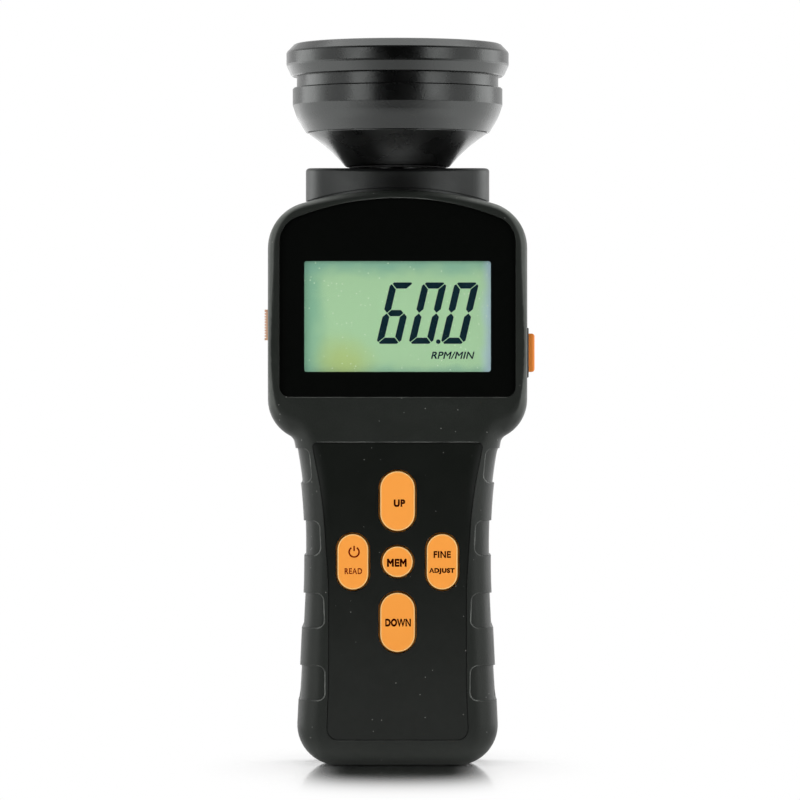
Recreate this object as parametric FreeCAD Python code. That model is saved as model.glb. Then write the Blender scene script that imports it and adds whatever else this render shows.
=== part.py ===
"""Handheld xenon stroboscope: a two-part case with a keypad grip, a display head and a flash lamp on top.

Millimetres. +X is the user's right, +Y runs from the front face to the back, +Z is up. The origin is on the
foot, in the middle of the case's width and depth. Each sub-part is written to its own STEP file.
"""
import FreeCAD, Part

import functools
import math
import os

from FreeCAD import Vector

# --- driving dimensions of the case -------------------------------------------------------------------
CASE_DEPTH = 37.0          # front face to back, at the head
HEAD_HALF_WIDTH = 37.1
WAIST_HALF_WIDTH = 26.8
FOOT_HALF_WIDTH = 29.36
ARCH_APEX_Z = 168.62       # corner of the construction polygon above the arch
SHOULDER_Z = 158.40        # polygon corner where the arch meets the head's side
ARCH_RADIUS = 100.0
FRONT_Y = -CASE_DEPTH / 2
BACK_Y = CASE_DEPTH / 2
GRIP_EDGE_RADIUS = 7.5     # rounding of the front and back edges along the handle
HEAD_EDGE_RADIUS = 2.5     # and round the head
GRIP_BLEND_Z = (90.0, 106.0)
CAVITY_EDGE_RADIUS = 3.0
HEEL_Y = 17.0              # back face at the foot
BACK_WAIST = 3.9           # how far the back of the handle lies in front of the back of the head
WALL = 2.2
FRONT_WALL = 3.2           # thicker, because the lens and the keypad plate are let into it
PARTING_Y = 2.0            # plane where the front and rear covers meet
PARTING_GROOVE = 0.3
TONGUE = 1.2               # height of the locating tongue at the parting plane

# --- face of the instrument ---------------------------------------------------------------------------
LENS_HALF_WIDTH = 33.66
LENS_BOTTOM_Z = 105.74
LENS_FRONT_Y = FRONT_Y + 0.1
LENS_THICKNESS = 1.5
BOND_THICKNESS = 0.2
WINDOW_HALF_WIDTH = 26.66
WINDOW_Z = (112.85, 144.5)
PLATE_FRONT_Y = FRONT_Y + 0.05
PLATE_POCKET_Y = FRONT_Y + 1.0
LENS_GAP = 0.12            # round the lens in its bed
PLATE_GAP = 0.20           # round the keypad plate in its pocket
KEY_PROUD = 0.8
KEY_TRAVEL = 1.0
KEY_GAP = 0.45
KEYS = {                   # name: centre x, centre z, width, height
    "up": (0.0, 75.95, 10.1, 17.2),
    "down": (0.0, 41.3, 10.1, 17.1),
    "read": (-12.75, 58.6, 9.0, 16.0),
    "fine": (12.75, 58.6, 9.0, 16.0),
    "mem": (0.0, 58.6, 8.94, 8.94),
}

# --- grip recesses on the sides of the handle ---------------------------------------------------------
RECESS_TOP_Z = 91.0
RECESS_PITCH = 20.7
RECESS_HEIGHT = 10.0
RECESS_DEPTH = 0.55
RECESS_CORNER = 2.2
RECESS_BACK_Y = 10.5
RECESS_INNER_X = ((25.3, 24.4), (22.3, 21.9), (21.2, 20.8), (20.8, 20.7))   # top and bottom of each

# --- side controls ------------------------------------------------------------------------------------
BUTTON_Z = 118.45
BUTTON_SIZE = (5.2, 11.1)          # across the case, along it
BUTTON_PROUD = 2.5
BUTTON_TRAVEL = 1.2
PLUNGER_X = 29.0           # where the button's rod meets the switch's nib
BEZEL_SIZE = (8.0, 14.4)
BEZEL_PROUD = 0.75
KNOB_Z = 126.5
KNOB_SIZE = (7.0, 8.8)
KNOB_PROUD = 1.3
KNOB_TRAVEL = 3.0
KNOB_RIB_PITCH = 0.8
KNOB_RIBS = 11

# --- electronics --------------------------------------------------------------------------------------
MAIN_BOARD_Y = (-9.6, -8.0)
HV_BOARD_Y = (2.0, 3.6)
BOARD_TOP_Z = 150.5
LCD_HALF_WIDTH = 29.0
LCD_Z = (110.7, 146.7)
LCD_GLASS_THICKNESS = 2.8

# --- batteries ----------------------------------------------------------------------------------------
CELL_RADIUS = 7.25
CELL_LENGTH = 50.5
CELL_PITCH = 14.7
CELL_Y = 5.0
TRAY_Z = (11.5, 66.0)
TRAY_HALF_WIDTH = 22.6
TRAY_WALL = 1.4
TRAY_FLOOR_Y = (-4.3, -2.8)
DOOR_HALF_WIDTH = 22.9
DOOR_Z = (12.15, 67.85)
DOOR_THICKNESS = 1.8
DOOR_GAP = 0.2
HOOK_WIDTH = 3.0
HOOK_REACH = 1.6
HOOK_Y = (HEEL_Y - WALL - 1.4, HEEL_Y - WALL - 0.2)

# --- screws -------------------------------------------------------------------------------------------
CASE_SCREWS = [(side * x, z) for x, z in ((31.2, 152.0), (31.0, 105.5), (21.0, 72.0)) for side in (-1, 1)]
MAIN_BOARD_SCREWS = [(side * 32.3, z) for z in (117.0, 140.0) for side in (-1, 1)]
HV_BOARD_SCREWS = [(side * 24.0, z) for z in (107.5, 147.0) for side in (-1, 1)]
BOSS_RADIUS = 3.0
CASE_SCREW_RADIUS = 1.4
CASE_SCREW_SEAT_Y = 8.0
POST_RADIUS = 2.0
BOARD_SCREW_RADIUS = 0.9

# --- lamp head, turned about the Z axis ---------------------------------------------------------------
COLLAR_AXES = (26.5, 15.8)
COLLAR_END_RADIUS = 11.0
COLLAR_TOP_Z = 171.7
COLLAR_CROWN_RADIUS = 139.0    # the top face falls away to the front and the back
COLLAR_CASE_GAP = 0.8
CONE_BOTTOM_Z = 172.05
CONE_TOP_Z = 182.5
CUP_RADIUS = 30.3
CUP_RIM_Z = 203.4
LAMP_TOP_Z = 207.55
BEZEL_RING_BOTTOM_Z = 198.2
GASKET_BOTTOM_Z = 194.9
SPIGOT_RADIUS = 10.0
SPIGOT_BORE = 7.0
SPIGOT_BOTTOM_Z = 152.0
NUT_TOP_Z = 157.0
NUT_ACROSS_FLATS = 24.0
COLLAR_TUBE_RADIUS = 14.0
RIM_RADIUS = 28.6
REFLECTOR_FOOT_Z = 186.5
REFLECTOR_HOLE = 7.0
REFLECTOR_MOUTH = 25.2
REFLECTOR_THICKNESS = 0.6
REFLECTOR_STEPS = 6
TUBE_LEG_X = 4.5
TUBE_BEND_Z = 195.0


# --- drawing helpers ----------------------------------------------------------------------------------
def rounded_wire(points):
    """Closed wire in the XZ plane through points (x, z, corner); a negative corner is a chamfer."""
    starts, middles, ends = [], [], []
    for i, (x, z, radius) in enumerate(points):
        corner = Vector(x, 0, z)
        back = (Vector(points[i - 1][0], 0, points[i - 1][1]) - corner).normalize()
        on_x, on_z, _ = points[(i + 1) % len(points)]
        ahead = (Vector(on_x, 0, on_z) - corner).normalize()
        if radius <= 0:
            starts.append(corner - back * radius)
            middles.append(None)
            ends.append(corner - ahead * radius)
            continue
        half_angle = back.getAngle(ahead) / 2
        tangent = radius / math.tan(half_angle)
        inward = (back + ahead).normalize()
        starts.append(corner + back * tangent)
        middles.append(corner + inward * (radius / math.sin(half_angle) - radius))
        ends.append(corner + ahead * tangent)
    edges = []
    for i, middle in enumerate(middles):
        if middle is not None:
            edges.append(Part.Arc(starts[i], middle, ends[i]).toShape())
        elif (starts[i] - ends[i]).Length > 1e-6:
            edges.append(Part.makeLine(starts[i], ends[i]))
        following = starts[(i + 1) % len(points)]
        if (ends[i] - following).Length > 1e-6:
            edges.append(Part.makeLine(ends[i], following))
    return Part.Wire(edges)


def mirrored(half):
    """Full outline from its right half, given from the bottom up; a point on the axis is kept once."""
    left = [(-x, z, r) for x, z, r in reversed(half) if x > 0]
    return half + left


def extruded(wire, y0, y1):
    """Solid between two planes across Y, from a closed wire in the XZ plane."""
    solid = Part.Face(wire).extrude(Vector(0, y1 - y0, 0))
    solid.translate(Vector(0, y0, 0))
    return solid


def plate(points, y0, y1):
    """Flat plate of a rounded outline between two planes across Y."""
    return extruded(rounded_wire(points), y0, y1)


def side_plate(points, half_width):
    """Block of a side-view outline (y, z, corner), as far to the left as to the right."""
    block = plate(points, -half_width, half_width)
    block.rotate(Vector(0, 0, 0), Vector(0, 0, 1), 90)
    return block


def turned(points):
    """Solid of revolution about Z from a closed profile of (radius, z, corner)."""
    return Part.Face(rounded_wire(points)).revolve(Vector(0, 0, 0), Vector(0, 0, 1), 360)


def box(x, y, z):
    """Box from three (low, high) pairs."""
    corner = Vector(x[0], y[0], z[0])
    return Part.makeBox(x[1] - x[0], y[1] - y[0], z[1] - z[0], corner)


def around(centre, size):
    """(low, high) pair of a length about its middle."""
    return (centre - size / 2, centre + size / 2)


def rod(axis, start, length, radius):
    """Cylinder from a point along "x", "y" or "z"; a negative length runs the other way."""
    direction = {"x": Vector(1, 0, 0), "y": Vector(0, 1, 0), "z": Vector(0, 0, 1)}[axis]
    if length < 0:
        direction = direction * -1
    return Part.makeCylinder(radius, abs(length), Vector(*start), direction)


def slot_block(centre, size, y0, y1, grow=0.0):
    """Prism with fully rounded ends, its outline grown all round; size is width and height."""
    half_width = size[0] / 2 + grow
    half_height = size[1] / 2 + grow
    x, z = centre
    if abs(half_height - half_width) < 1e-6:
        return rod("y", (x, y0, z), y1 - y0, half_width)
    shaft = half_height - half_width
    bottom, top = Vector(x, 0, z - shaft), Vector(x, 0, z + shaft)
    across, up = Vector(half_width, 0, 0), Vector(0, 0, half_width)
    wire = Part.Wire([
        Part.makeLine(bottom + across, top + across),
        Part.Arc(top + across, top + up, top - across).toShape(),
        Part.makeLine(top - across, bottom - across),
        Part.Arc(bottom - across, bottom - up, bottom + across).toShape(),
    ])
    return extruded(wire, y0, y1)


def joined(first, *others):
    """Union of solids, without the seams between them."""
    return first.fuse(list(others)).removeSplitter()


def rounded_edges(solid, radius, chosen):
    """Solid with one radius on the edges that the test picks by their bounding box."""
    edges = [edge for edge in solid.Edges if chosen(edge.BoundBox)]
    return solid.makeFillet(radius, edges)


def bevelled_edges(solid, size, chosen):
    """Solid with one chamfer on the edges that the test picks by their bounding box."""
    edges = [edge for edge in solid.Edges if chosen(edge.BoundBox)]
    return solid.makeChamfer(size, edges)


def cut_in_turn(solid, tools):
    """Solid with each tool taken away after the other."""
    for tool in tools:
        solid = solid.cut(tool)
    return solid.removeSplitter()


# --- case form ----------------------------------------------------------------------------------------
def case_outline():
    """Front view of the case: foot, waist, neck, head and arch."""
    return rounded_wire(mirrored([
        (FOOT_HALF_WIDTH, 0.0, 11.7),
        (WAIST_HALF_WIDTH, 53.7, 240.0),
        (WAIST_HALF_WIDTH, 78.18, 150.0),
        (29.82, 94.0, 2.8),
        (HEAD_HALF_WIDTH, 98.04, 11.6),
        (HEAD_HALF_WIDTH, SHOULDER_Z, 13.4),
        (0.0, ARCH_APEX_Z, ARCH_RADIUS),
    ]))


def case_side_profile():
    """Side view, open past the case on the other sides: the back is waisted behind the handle."""
    wire = rounded_wire([
        (-30.0, -5.0, 0),
        (HEEL_Y, -5.0, 0),
        (HEEL_Y, 12.0, 40.0),
        (BACK_Y - BACK_WAIST, 60.0, 120.0),
        (15.0, 88.0, 60.0),
        (BACK_Y, 104.0, 60.0),
        (BACK_Y, 180.0, 0),
        (-30.0, 180.0, 0),
    ])
    wire.rotate(Vector(0, 0, 0), Vector(0, 0, 1), 90)
    return wire


def edge_radius(z):
    """Rounding of the case's long edges: soft along the handle, crisp round the head."""
    low, high = GRIP_BLEND_Z
    share = min(max((z - low) / (high - low), 0.0), 1.0)
    return GRIP_EDGE_RADIUS + share * (HEAD_EDGE_RADIUS - GRIP_EDGE_RADIUS)


@functools.lru_cache(maxsize=None)
def case_block(inset=0.0, front_inset=None):
    """The case with square front and back edges, or the block that lies some distance inside it."""
    outline, profile = case_outline(), case_side_profile()
    if inset:
        outline, profile = outline.makeOffset2D(-inset), profile.makeOffset2D(-inset)
    front_y = FRONT_Y + (inset if front_inset is None else front_inset)
    block = extruded(outline, front_y, BACK_Y - inset)
    side = Part.Face(profile).extrude(Vector(2 * HEAD_HALF_WIDTH + 20, 0, 0))
    side.translate(Vector(-HEAD_HALF_WIDTH - 10, 0, 0))
    return block.common(side).Solids[0]


@functools.lru_cache(maxsize=None)
def case_form(inset=0.0):
    """The case as one rounded solid, or the similar solid that lies some distance inside it."""
    share = 1 - inset / GRIP_EDGE_RADIUS
    return softened(case_block(inset), lambda z: edge_radius(z) * share)


@functools.lru_cache(maxsize=None)
def cavity():
    """Space inside the covers."""
    return softened(case_block(WALL, FRONT_WALL), lambda z: CAVITY_EDGE_RADIUS)


def softened(block, radius_at):
    """Block with its front and back edges rounded by a radius that depends on the height."""
    front_y, back_y = block.BoundBox.YMin, block.BoundBox.YMax
    radii = []
    for number, edge in enumerate(block.Edges, start=1):
        at_front = edge.BoundBox.YMax < front_y + 0.01
        at_back = edge.BoundBox.YMin > back_y - BACK_WAIST - 0.5
        if at_front or at_back:
            ends = (edge.valueAt(edge.FirstParameter), edge.valueAt(edge.LastParameter))
            radii.append((number, *(radius_at(end.z) for end in ends)))
    document = FreeCAD.newDocument()
    base = document.addObject("Part::Feature", "Base")
    base.Shape = block
    fillet = document.addObject("Part::Fillet", "Fillet")
    fillet.Base = base
    fillet.Edges = radii
    document.recompute()
    result = fillet.Shape.copy().Solids[0]
    FreeCAD.closeDocument(document.Name)
    return result


def slab(y0, y1):
    """Everything between two planes across Y."""
    return box((-60, 60), (y0, y1), (-20, 230))


def grip_recesses():
    """Tool that leaves the shallow recesses on both sides of the handle, from front to back."""
    far_x = WAIST_HALF_WIDTH + 10
    tools = []
    for row, (top_x, bottom_x) in enumerate(RECESS_INNER_X):
        top = RECESS_TOP_Z - row * RECESS_PITCH
        bottom = top - RECESS_HEIGHT
        front_view = plate([
            (bottom_x, bottom, RECESS_CORNER),
            (far_x, bottom, 0),
            (far_x, top, 0),
            (top_x, top, RECESS_CORNER),
        ], FRONT_Y - 5, BACK_Y)
        side_view = side_plate([
            (FRONT_Y - 5, bottom, 0),
            (RECESS_BACK_Y, bottom, RECESS_CORNER),
            (RECESS_BACK_Y, top, RECESS_CORNER),
            (FRONT_Y - 5, top, 0),
        ], far_x)
        right = front_view.common(side_view)
        tools += [right, right.mirror(Vector(0, 0, 0), Vector(1, 0, 0))]
    return Part.makeCompound(tools).cut(case_form(RECESS_DEPTH))


# --- face pieces --------------------------------------------------------------------------------------
def lens_outline(grow=0.0):
    """Outline of the display lens: square at the foot, arched like the case at the top."""
    half_width = LENS_HALF_WIDTH + grow
    return rounded_wire(mirrored([
        (half_width, LENS_BOTTOM_Z - grow, 2.9 + grow),
        (half_width, 155.06 + grow, 7.5 + grow),
        (0.0, 167.98 + grow, 78.5 + grow),
    ]))


def window_plate(y0, y1, grow=0.0):
    """Block of the display window's outline."""
    half_width = WINDOW_HALF_WIDTH + grow
    low, high = WINDOW_Z[0] - grow, WINDOW_Z[1] + grow
    return plate(mirrored([(half_width, low, 0.7), (half_width, high, 0.7)]), y0, y1)


def display_lens():
    """Clear acrylic lens over the display."""
    return extruded(lens_outline(), LENS_FRONT_Y, LENS_FRONT_Y + LENS_THICKNESS)


def lens_bond_frame():
    """Black bonding film behind the lens, with the display window left open."""
    y0 = LENS_FRONT_Y + LENS_THICKNESS
    film = extruded(lens_outline(), y0, y0 + BOND_THICKNESS)
    return film.cut(window_plate(y0 - 1, y0 + 1))


def keypad_outline(grow=0.0):
    """Outline of the keypad plate: waisted like the handle, wider towards the display."""
    return rounded_wire(mirrored([
        (20.2 + grow, 7.76 - grow, 3.1 + grow),
        (19.6 + grow, 24.0, 60.0),
        (19.6 + grow, 52.0, 90.0),
        (21.2 + grow, 76.0, 120.0),
        (24.4 + grow, 92.5 + grow, 1.2 + grow),
    ]))


def key_holes(y0, y1):
    """Clearance round the five key caps."""
    return [slot_block((x, z), (w, h), y0, y1, KEY_GAP) for x, z, w, h in KEYS.values()]


def keypad_plate():
    """Plate let into the handle, flush with its rounded face, with an opening for each key."""
    blank = extruded(keypad_outline(), FRONT_Y - 1, PLATE_POCKET_Y)
    blank = blank.common(case_form(PLATE_FRONT_Y - FRONT_Y))
    return blank.cut(key_holes(FRONT_Y - 1, PLATE_POCKET_Y + 1))


def key(x, z, width, height):
    """One key: a proud rounded cap, a flange behind the cover and a plunger that meets the board."""
    cap_y = FRONT_Y - KEY_PROUD
    flange_y = FRONT_Y + FRONT_WALL + 0.1
    plunger_end_y = MAIN_BOARD_Y[0] - KEY_TRAVEL - 0.05
    cap = slot_block((x, z), (width, height), cap_y, flange_y)
    cap = rounded_edges(cap, 0.7, lambda bounds: bounds.YMax < cap_y + 0.01)
    flange = slot_block((x, z), (width, height), flange_y, flange_y + 1.2, 0.9)
    plunger = rod("y", (x, flange_y + 1.2, z), plunger_end_y - flange_y - 1.2, 2.5)
    return joined(cap, flange, plunger)


def keypad_mat():
    """Silicone sheet on the board, open under each plunger."""
    mat = plate(mirrored([(17.3, 12.0, 2.0), (17.3, 89.0, 2.0)]), -12.0, MAIN_BOARD_Y[0])
    return mat.cut([rod("y", (x, -13, z), 5, 3.1) for x, z, _, _ in KEYS.values()])


# --- covers -------------------------------------------------------------------------------------------
def side_openings():
    """Cut-outs on the parting plane for the push button's bezel and the slide switch."""
    bezel = box((HEAD_HALF_WIDTH - 5, HEAD_HALF_WIDTH + 5), around(PARTING_Y, BEZEL_SIZE[0]),
                around(BUTTON_Z, BEZEL_SIZE[1]))
    track_z = (KNOB_Z - KNOB_SIZE[1] / 2 - KNOB_TRAVEL - 0.4, KNOB_Z + KNOB_SIZE[1] / 2 + 0.4)
    track_x = (-HEAD_HALF_WIDTH - 5, -HEAD_HALF_WIDTH + 0.6)
    track = box(track_x, around(PARTING_Y, KNOB_SIZE[0] + 0.8), track_z)
    stem_z = (KNOB_Z - 1.7 - KNOB_TRAVEL, KNOB_Z + 1.7)
    stem = box((-HEAD_HALF_WIDTH - 5, -HEAD_HALF_WIDTH + 5), around(PARTING_Y, 2.8), stem_z)
    return [bezel, track, stem]


def lamp_opening():
    """Round hole in the arch for the lamp collar's tube."""
    return rod("z", (0, 0, NUT_TOP_Z - 2), 20, COLLAR_TUBE_RADIUS)


def tongue_ring(inset, height):
    """Slice just inside the case wall, from the parting plane back."""
    return case_block(inset).common(slab(PARTING_Y, PARTING_Y + height))


def front_cover():
    """Front half of the case, with the lens bed, keypad pocket, screw bosses and locating tongue."""
    tongue = tongue_ring(WALL / 2 + 0.05, TONGUE)
    shell = case_form().common(slab(FRONT_Y - 5, PARTING_Y)).fuse(tongue)
    shell = shell.cut(cavity()).cut(lamp_opening())
    bosses = [rod("y", (x, FRONT_Y + 2.0, z), PARTING_Y - FRONT_Y - 2.0, BOSS_RADIUS) for x, z in CASE_SCREWS]
    posts = [rod("y", (x, FRONT_Y + 2.0, z), MAIN_BOARD_Y[0] - FRONT_Y - 2.0, POST_RADIUS)
             for x, z in MAIN_BOARD_SCREWS]
    bed_y = LENS_FRONT_Y + LENS_THICKNESS + BOND_THICKNESS
    cuts = [
        extruded(lens_outline(LENS_GAP), FRONT_Y - 5, bed_y),
        window_plate(bed_y - 1, FRONT_Y + FRONT_WALL + 1, 0.9),
        extruded(keypad_outline(PLATE_GAP), FRONT_Y - 5, PLATE_POCKET_Y),
        grip_recesses(),
    ]
    cuts += key_holes(PLATE_POCKET_Y - 0.5, FRONT_Y + FRONT_WALL + 1)
    cuts += side_openings()
    cuts += [rod("y", (x, -10.5, z), 20, CASE_SCREW_RADIUS) for x, z in CASE_SCREWS]
    cuts += [rod("y", (x, -13.0, z), 5, BOARD_SCREW_RADIUS) for x, z in MAIN_BOARD_SCREWS]
    return cut_in_turn(shell.fuse(bosses + posts), cuts)


def battery_tray():
    """Block behind the door, inside the case wall, from which the room for the cells is cut."""
    outer = box((-TRAY_HALF_WIDTH - TRAY_WALL, TRAY_HALF_WIDTH + TRAY_WALL), (TRAY_FLOOR_Y[0], BACK_Y),
                (TRAY_Z[0] - 1.5, TRAY_Z[1] + 1.5))
    return outer.common(case_form(WALL / 2))


def cell_space():
    """Room for the cells, open through the case wall above the lip that the door's hooks reach under."""
    floor_y, lip_y, outside_y = TRAY_FLOOR_Y[1], HEEL_Y - WALL, BACK_Y + 5
    lip_z = DOOR_Z[0] - DOOR_GAP
    return side_plate([
        (floor_y, TRAY_Z[0], 0),
        (lip_y, TRAY_Z[0], 0),
        (lip_y, lip_z, 0),
        (outside_y, lip_z, 0),
        (outside_y, TRAY_Z[1], 0),
        (floor_y, TRAY_Z[1], 0),
    ], TRAY_HALF_WIDTH)


def door_opening():
    """Space that the battery door fills, from outside the case to just under the door."""
    half_width = DOOR_HALF_WIDTH + DOOR_GAP
    low, high = DOOR_Z[0] - DOOR_GAP, DOOR_Z[1] + DOOR_GAP
    block = plate(mirrored([(half_width, low, 1.5), (half_width, high, 1.5)]), CELL_Y, BACK_Y + 10)
    return block.cut(case_form(DOOR_THICKNESS + DOOR_GAP))


def rear_cover():
    """Rear half of the case, with the battery tray, counterbored screw bosses and the board's posts."""
    shell = case_form().common(slab(PARTING_Y, BACK_Y + 5)).cut(cavity()).cut(lamp_opening())
    inner_back = case_form(WALL / 2)
    bosses = [rod("y", (x, PARTING_Y, z), 20, BOSS_RADIUS + 1.4).common(inner_back) for x, z in CASE_SCREWS]
    posts = [rod("y", (x, HV_BOARD_Y[1], z), 20, POST_RADIUS).common(inner_back) for x, z in HV_BOARD_SCREWS]
    tongue_groove = tongue_ring(WALL / 2, TONGUE + 0.1).cut(case_block(WALL + 0.01, FRONT_WALL))
    parting_groove = slab(PARTING_Y, PARTING_Y + PARTING_GROOVE).cut(case_block(PARTING_GROOVE))
    cuts = [tongue_groove, parting_groove, cell_space(), door_opening(), grip_recesses()]
    cuts += side_openings() + hook_pockets()
    cuts += [rod("y", (x, PARTING_Y - 1, z), 30, CASE_SCREW_RADIUS + 0.2) for x, z in CASE_SCREWS]
    cuts += [rod("y", (x, CASE_SCREW_SEAT_Y, z), 30, 3.1) for x, z in CASE_SCREWS]
    cuts += [rod("y", (x, HV_BOARD_Y[1] - 1, z), 6, BOARD_SCREW_RADIUS) for x, z in HV_BOARD_SCREWS]
    return cut_in_turn(shell.fuse(bosses + posts + [battery_tray()]), cuts)


def hook_pockets():
    """Pockets in the tray's lower wall, where the door's hooks reach under the case lip and swing."""
    return [box(around(side * CELL_PITCH / 2, HOOK_WIDTH + 0.6), (HOOK_Y[0] - 0.8, HEEL_Y - WALL),
                (TRAY_Z[0] - 1.6, DOOR_Z[0])) for side in (-1, 1)]


def battery_door():
    """Door over the cells: follows the back of the handle, with two hooks below and a finger notch above."""
    low, high = DOOR_Z
    blank = plate(mirrored([(DOOR_HALF_WIDTH, low, 1.3), (DOOR_HALF_WIDTH, high, 1.3)]), CELL_Y, BACK_Y + 5)
    skin = blank.common(case_form()).cut(case_form(DOOR_THICKNESS))
    hooks = []
    for side in (-1, 1):
        x = around(side * CELL_PITCH / 2, HOOK_WIDTH)
        hooks.append(box(x, HOOK_Y, (low - HOOK_REACH, low + 3.0)))
        hooks.append(box(x, (HOOK_Y[1], HEEL_Y - 1.0), (low, low + 3.0)))
    notch = Part.makeSphere(9.0, Vector(0, BACK_Y - BACK_WAIST + 8.3, high - 5.0))
    return joined(skin, *hooks).cut(notch)


# --- side controls ------------------------------------------------------------------------------------
def side_button_bezel():
    """Black frame round the push button, with a flange inside the case wall."""
    inner_x = HEAD_HALF_WIDTH - WALL
    frame = box((inner_x - 0.8, HEAD_HALF_WIDTH + BEZEL_PROUD), around(PARTING_Y, BEZEL_SIZE[0]),
                around(BUTTON_Z, BEZEL_SIZE[1]))
    outer_x = HEAD_HALF_WIDTH + BEZEL_PROUD
    frame = rounded_edges(frame, 0.35, lambda bounds: bounds.XMin > outer_x - 0.01)
    flange = box((inner_x - 0.8, inner_x), around(PARTING_Y, BEZEL_SIZE[0] + 2),
                 around(BUTTON_Z, BEZEL_SIZE[1] + 2))
    hole = box((inner_x - 5, outer_x + 5), around(PARTING_Y, BUTTON_SIZE[0] + 0.5),
               around(BUTTON_Z, BUTTON_SIZE[1] + 0.5))
    return joined(frame, flange).cut(hole)


def side_button():
    """Push button on the right side: rounded cap, retaining flange and rod."""
    flange_x = HEAD_HALF_WIDTH - WALL - 0.8 - 0.1
    top_x = HEAD_HALF_WIDTH + BUTTON_PROUD
    cap = box((flange_x - 1.0, top_x), around(PARTING_Y, BUTTON_SIZE[0]), around(BUTTON_Z, BUTTON_SIZE[1]))
    cap = rounded_edges(cap, 0.9, lambda bounds: bounds.XMin > top_x - 0.01)
    flange = box((flange_x - 1.0, flange_x), around(PARTING_Y, BUTTON_SIZE[0] + 1.8),
                 around(BUTTON_Z, BUTTON_SIZE[1] + 1.8))
    stalk = rod("x", (PLUNGER_X, 0.0, BUTTON_Z), flange_x - 1.0 - PLUNGER_X, 1.2)
    return joined(cap, flange, stalk)


def side_switch_plunger():
    """Nib of the push switch, carried by the button's rod."""
    return rod("x", (PLUNGER_X, 0.0, BUTTON_Z), -3.0, 0.9)


def side_switch_body():
    """Push switch on the flash board, bored for its nib."""
    body = box((21.0, 27.0), (-3.2, HV_BOARD_Y[0]), around(BUTTON_Z, 8.0))
    return body.cut(rod("x", (27.0, 0.0, BUTTON_Z), -BUTTON_TRAVEL - 1.3, 1.1))


def slide_knob():
    """Ribbed knob of the slide switch, with its stem through the case wall."""
    outer_x = -HEAD_HALF_WIDTH - KNOB_PROUD
    inner_x = -HEAD_HALF_WIDTH + 0.45
    cap = box((outer_x, inner_x), around(PARTING_Y, KNOB_SIZE[0]), around(KNOB_Z, KNOB_SIZE[1]))
    valleys = [
        box((outer_x - 1, outer_x + 0.45), (PARTING_Y - 10, PARTING_Y + 10),
            around(KNOB_Z + (i - (KNOB_RIBS - 2) / 2) * KNOB_RIB_PITCH, 0.36))
        for i in range(KNOB_RIBS - 1)
    ]
    stem = box((inner_x, -33.5), around(PARTING_Y, 2.4), around(KNOB_Z, 3.0))
    return joined(cap.cut(valleys), stem)


def slide_switch_lever():
    """Lever of the slide switch, carried by the knob's stem."""
    return box((-33.5, -25.5), (-1.0, 1.2), around(KNOB_Z, 2.0))


def slide_switch_body():
    """Slide switch on the flash board, slotted for its lever."""
    body = box((-27.0, -20.0), (-3.5, HV_BOARD_Y[0]), (119.0, 131.0))
    slot = box((-28.0, -24.8), (-1.3, 1.5), (KNOB_Z - 1.3 - KNOB_TRAVEL, KNOB_Z + 1.3))
    return body.cut(slot)


# --- display and boards -------------------------------------------------------------------------------
def lcd_glass():
    """Liquid crystal cell behind the window."""
    y0 = FRONT_Y + FRONT_WALL
    return box((-LCD_HALF_WIDTH, LCD_HALF_WIDTH), (y0, y0 + LCD_GLASS_THICKNESS), LCD_Z)


def lcd_frame():
    """Plastic frame that holds the cell off the board."""
    y0 = FRONT_Y + FRONT_WALL + LCD_GLASS_THICKNESS
    y = (y0, MAIN_BOARD_Y[0])
    outer = box((-LCD_HALF_WIDTH - 1, LCD_HALF_WIDTH + 1), y, (LCD_Z[0] - 1.5, LCD_Z[1] + 1.5))
    inner_x = (-LCD_HALF_WIDTH + 1, LCD_HALF_WIDTH - 1)
    return outer.cut(box(inner_x, (y0 - 1, y[1] + 1), (LCD_Z[0] + 0.5, LCD_Z[1] - 0.5)))


def zebra_strips():
    """Two elastomer strips that connect the cell to the board."""
    y = (FRONT_Y + FRONT_WALL + LCD_GLASS_THICKNESS, MAIN_BOARD_Y[0])
    x = (-LCD_HALF_WIDTH + 2, LCD_HALF_WIDTH - 2)
    low = box(x, y, (LCD_Z[0] + 0.5, LCD_Z[0] + 2.5))
    high = box(x, y, (LCD_Z[1] - 2.5, LCD_Z[1] - 0.5))
    return Part.makeCompound([low, high])


def main_board():
    """Circuit board behind the keypad and display, cut round the screw bosses."""
    outline = case_outline().makeOffset2D(-(WALL + 0.4))
    board = extruded(outline, *MAIN_BOARD_Y).common(box((-60, 60), (-20, 20), (8.0, BOARD_TOP_Z)))
    holes = [rod("y", (x, -12, z), 8, BOSS_RADIUS + 0.4) for x, z in CASE_SCREWS]
    holes += [rod("y", (x, -12, z), 8, BOARD_SCREW_RADIUS) for x, z in MAIN_BOARD_SCREWS]
    return board.cut(holes)


def board_chips():
    """Processor, display driver and memory on the back of the main board."""
    y = (MAIN_BOARD_Y[1], MAIN_BOARD_Y[1] + 1.5)
    places = ((0.0, 128.0, 14.0, 14.0), (18.0, 126.0, 8.0, 12.0), (-16.0, 112.0, 8.0, 5.0))
    return Part.makeCompound([box(around(x, w), y, around(z, h)) for x, z, w, h in places])


def hv_board():
    """Flash board in the back of the head."""
    board = box((-26.0, 26.0), HV_BOARD_Y, (104.0, BOARD_TOP_Z))
    return board.cut([rod("y", (x, 0, z), 6, BOARD_SCREW_RADIUS) for x, z in HV_BOARD_SCREWS])


def board_header():
    """Terminal block on the flash board for the lamp leads."""
    return box((-7.0, 7.0), (-3.0, HV_BOARD_Y[0]), (144.0, 149.0))


def flash_capacitor():
    """Main storage capacitor, lying across the back of the flash board."""
    radius = 6.0
    can = rod("x", (-17.0, HV_BOARD_Y[1] + radius, 117.0), 34.0, radius)
    return bevelled_edges(can, 0.6, lambda bounds: bounds.XLength < 0.01)


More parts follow.
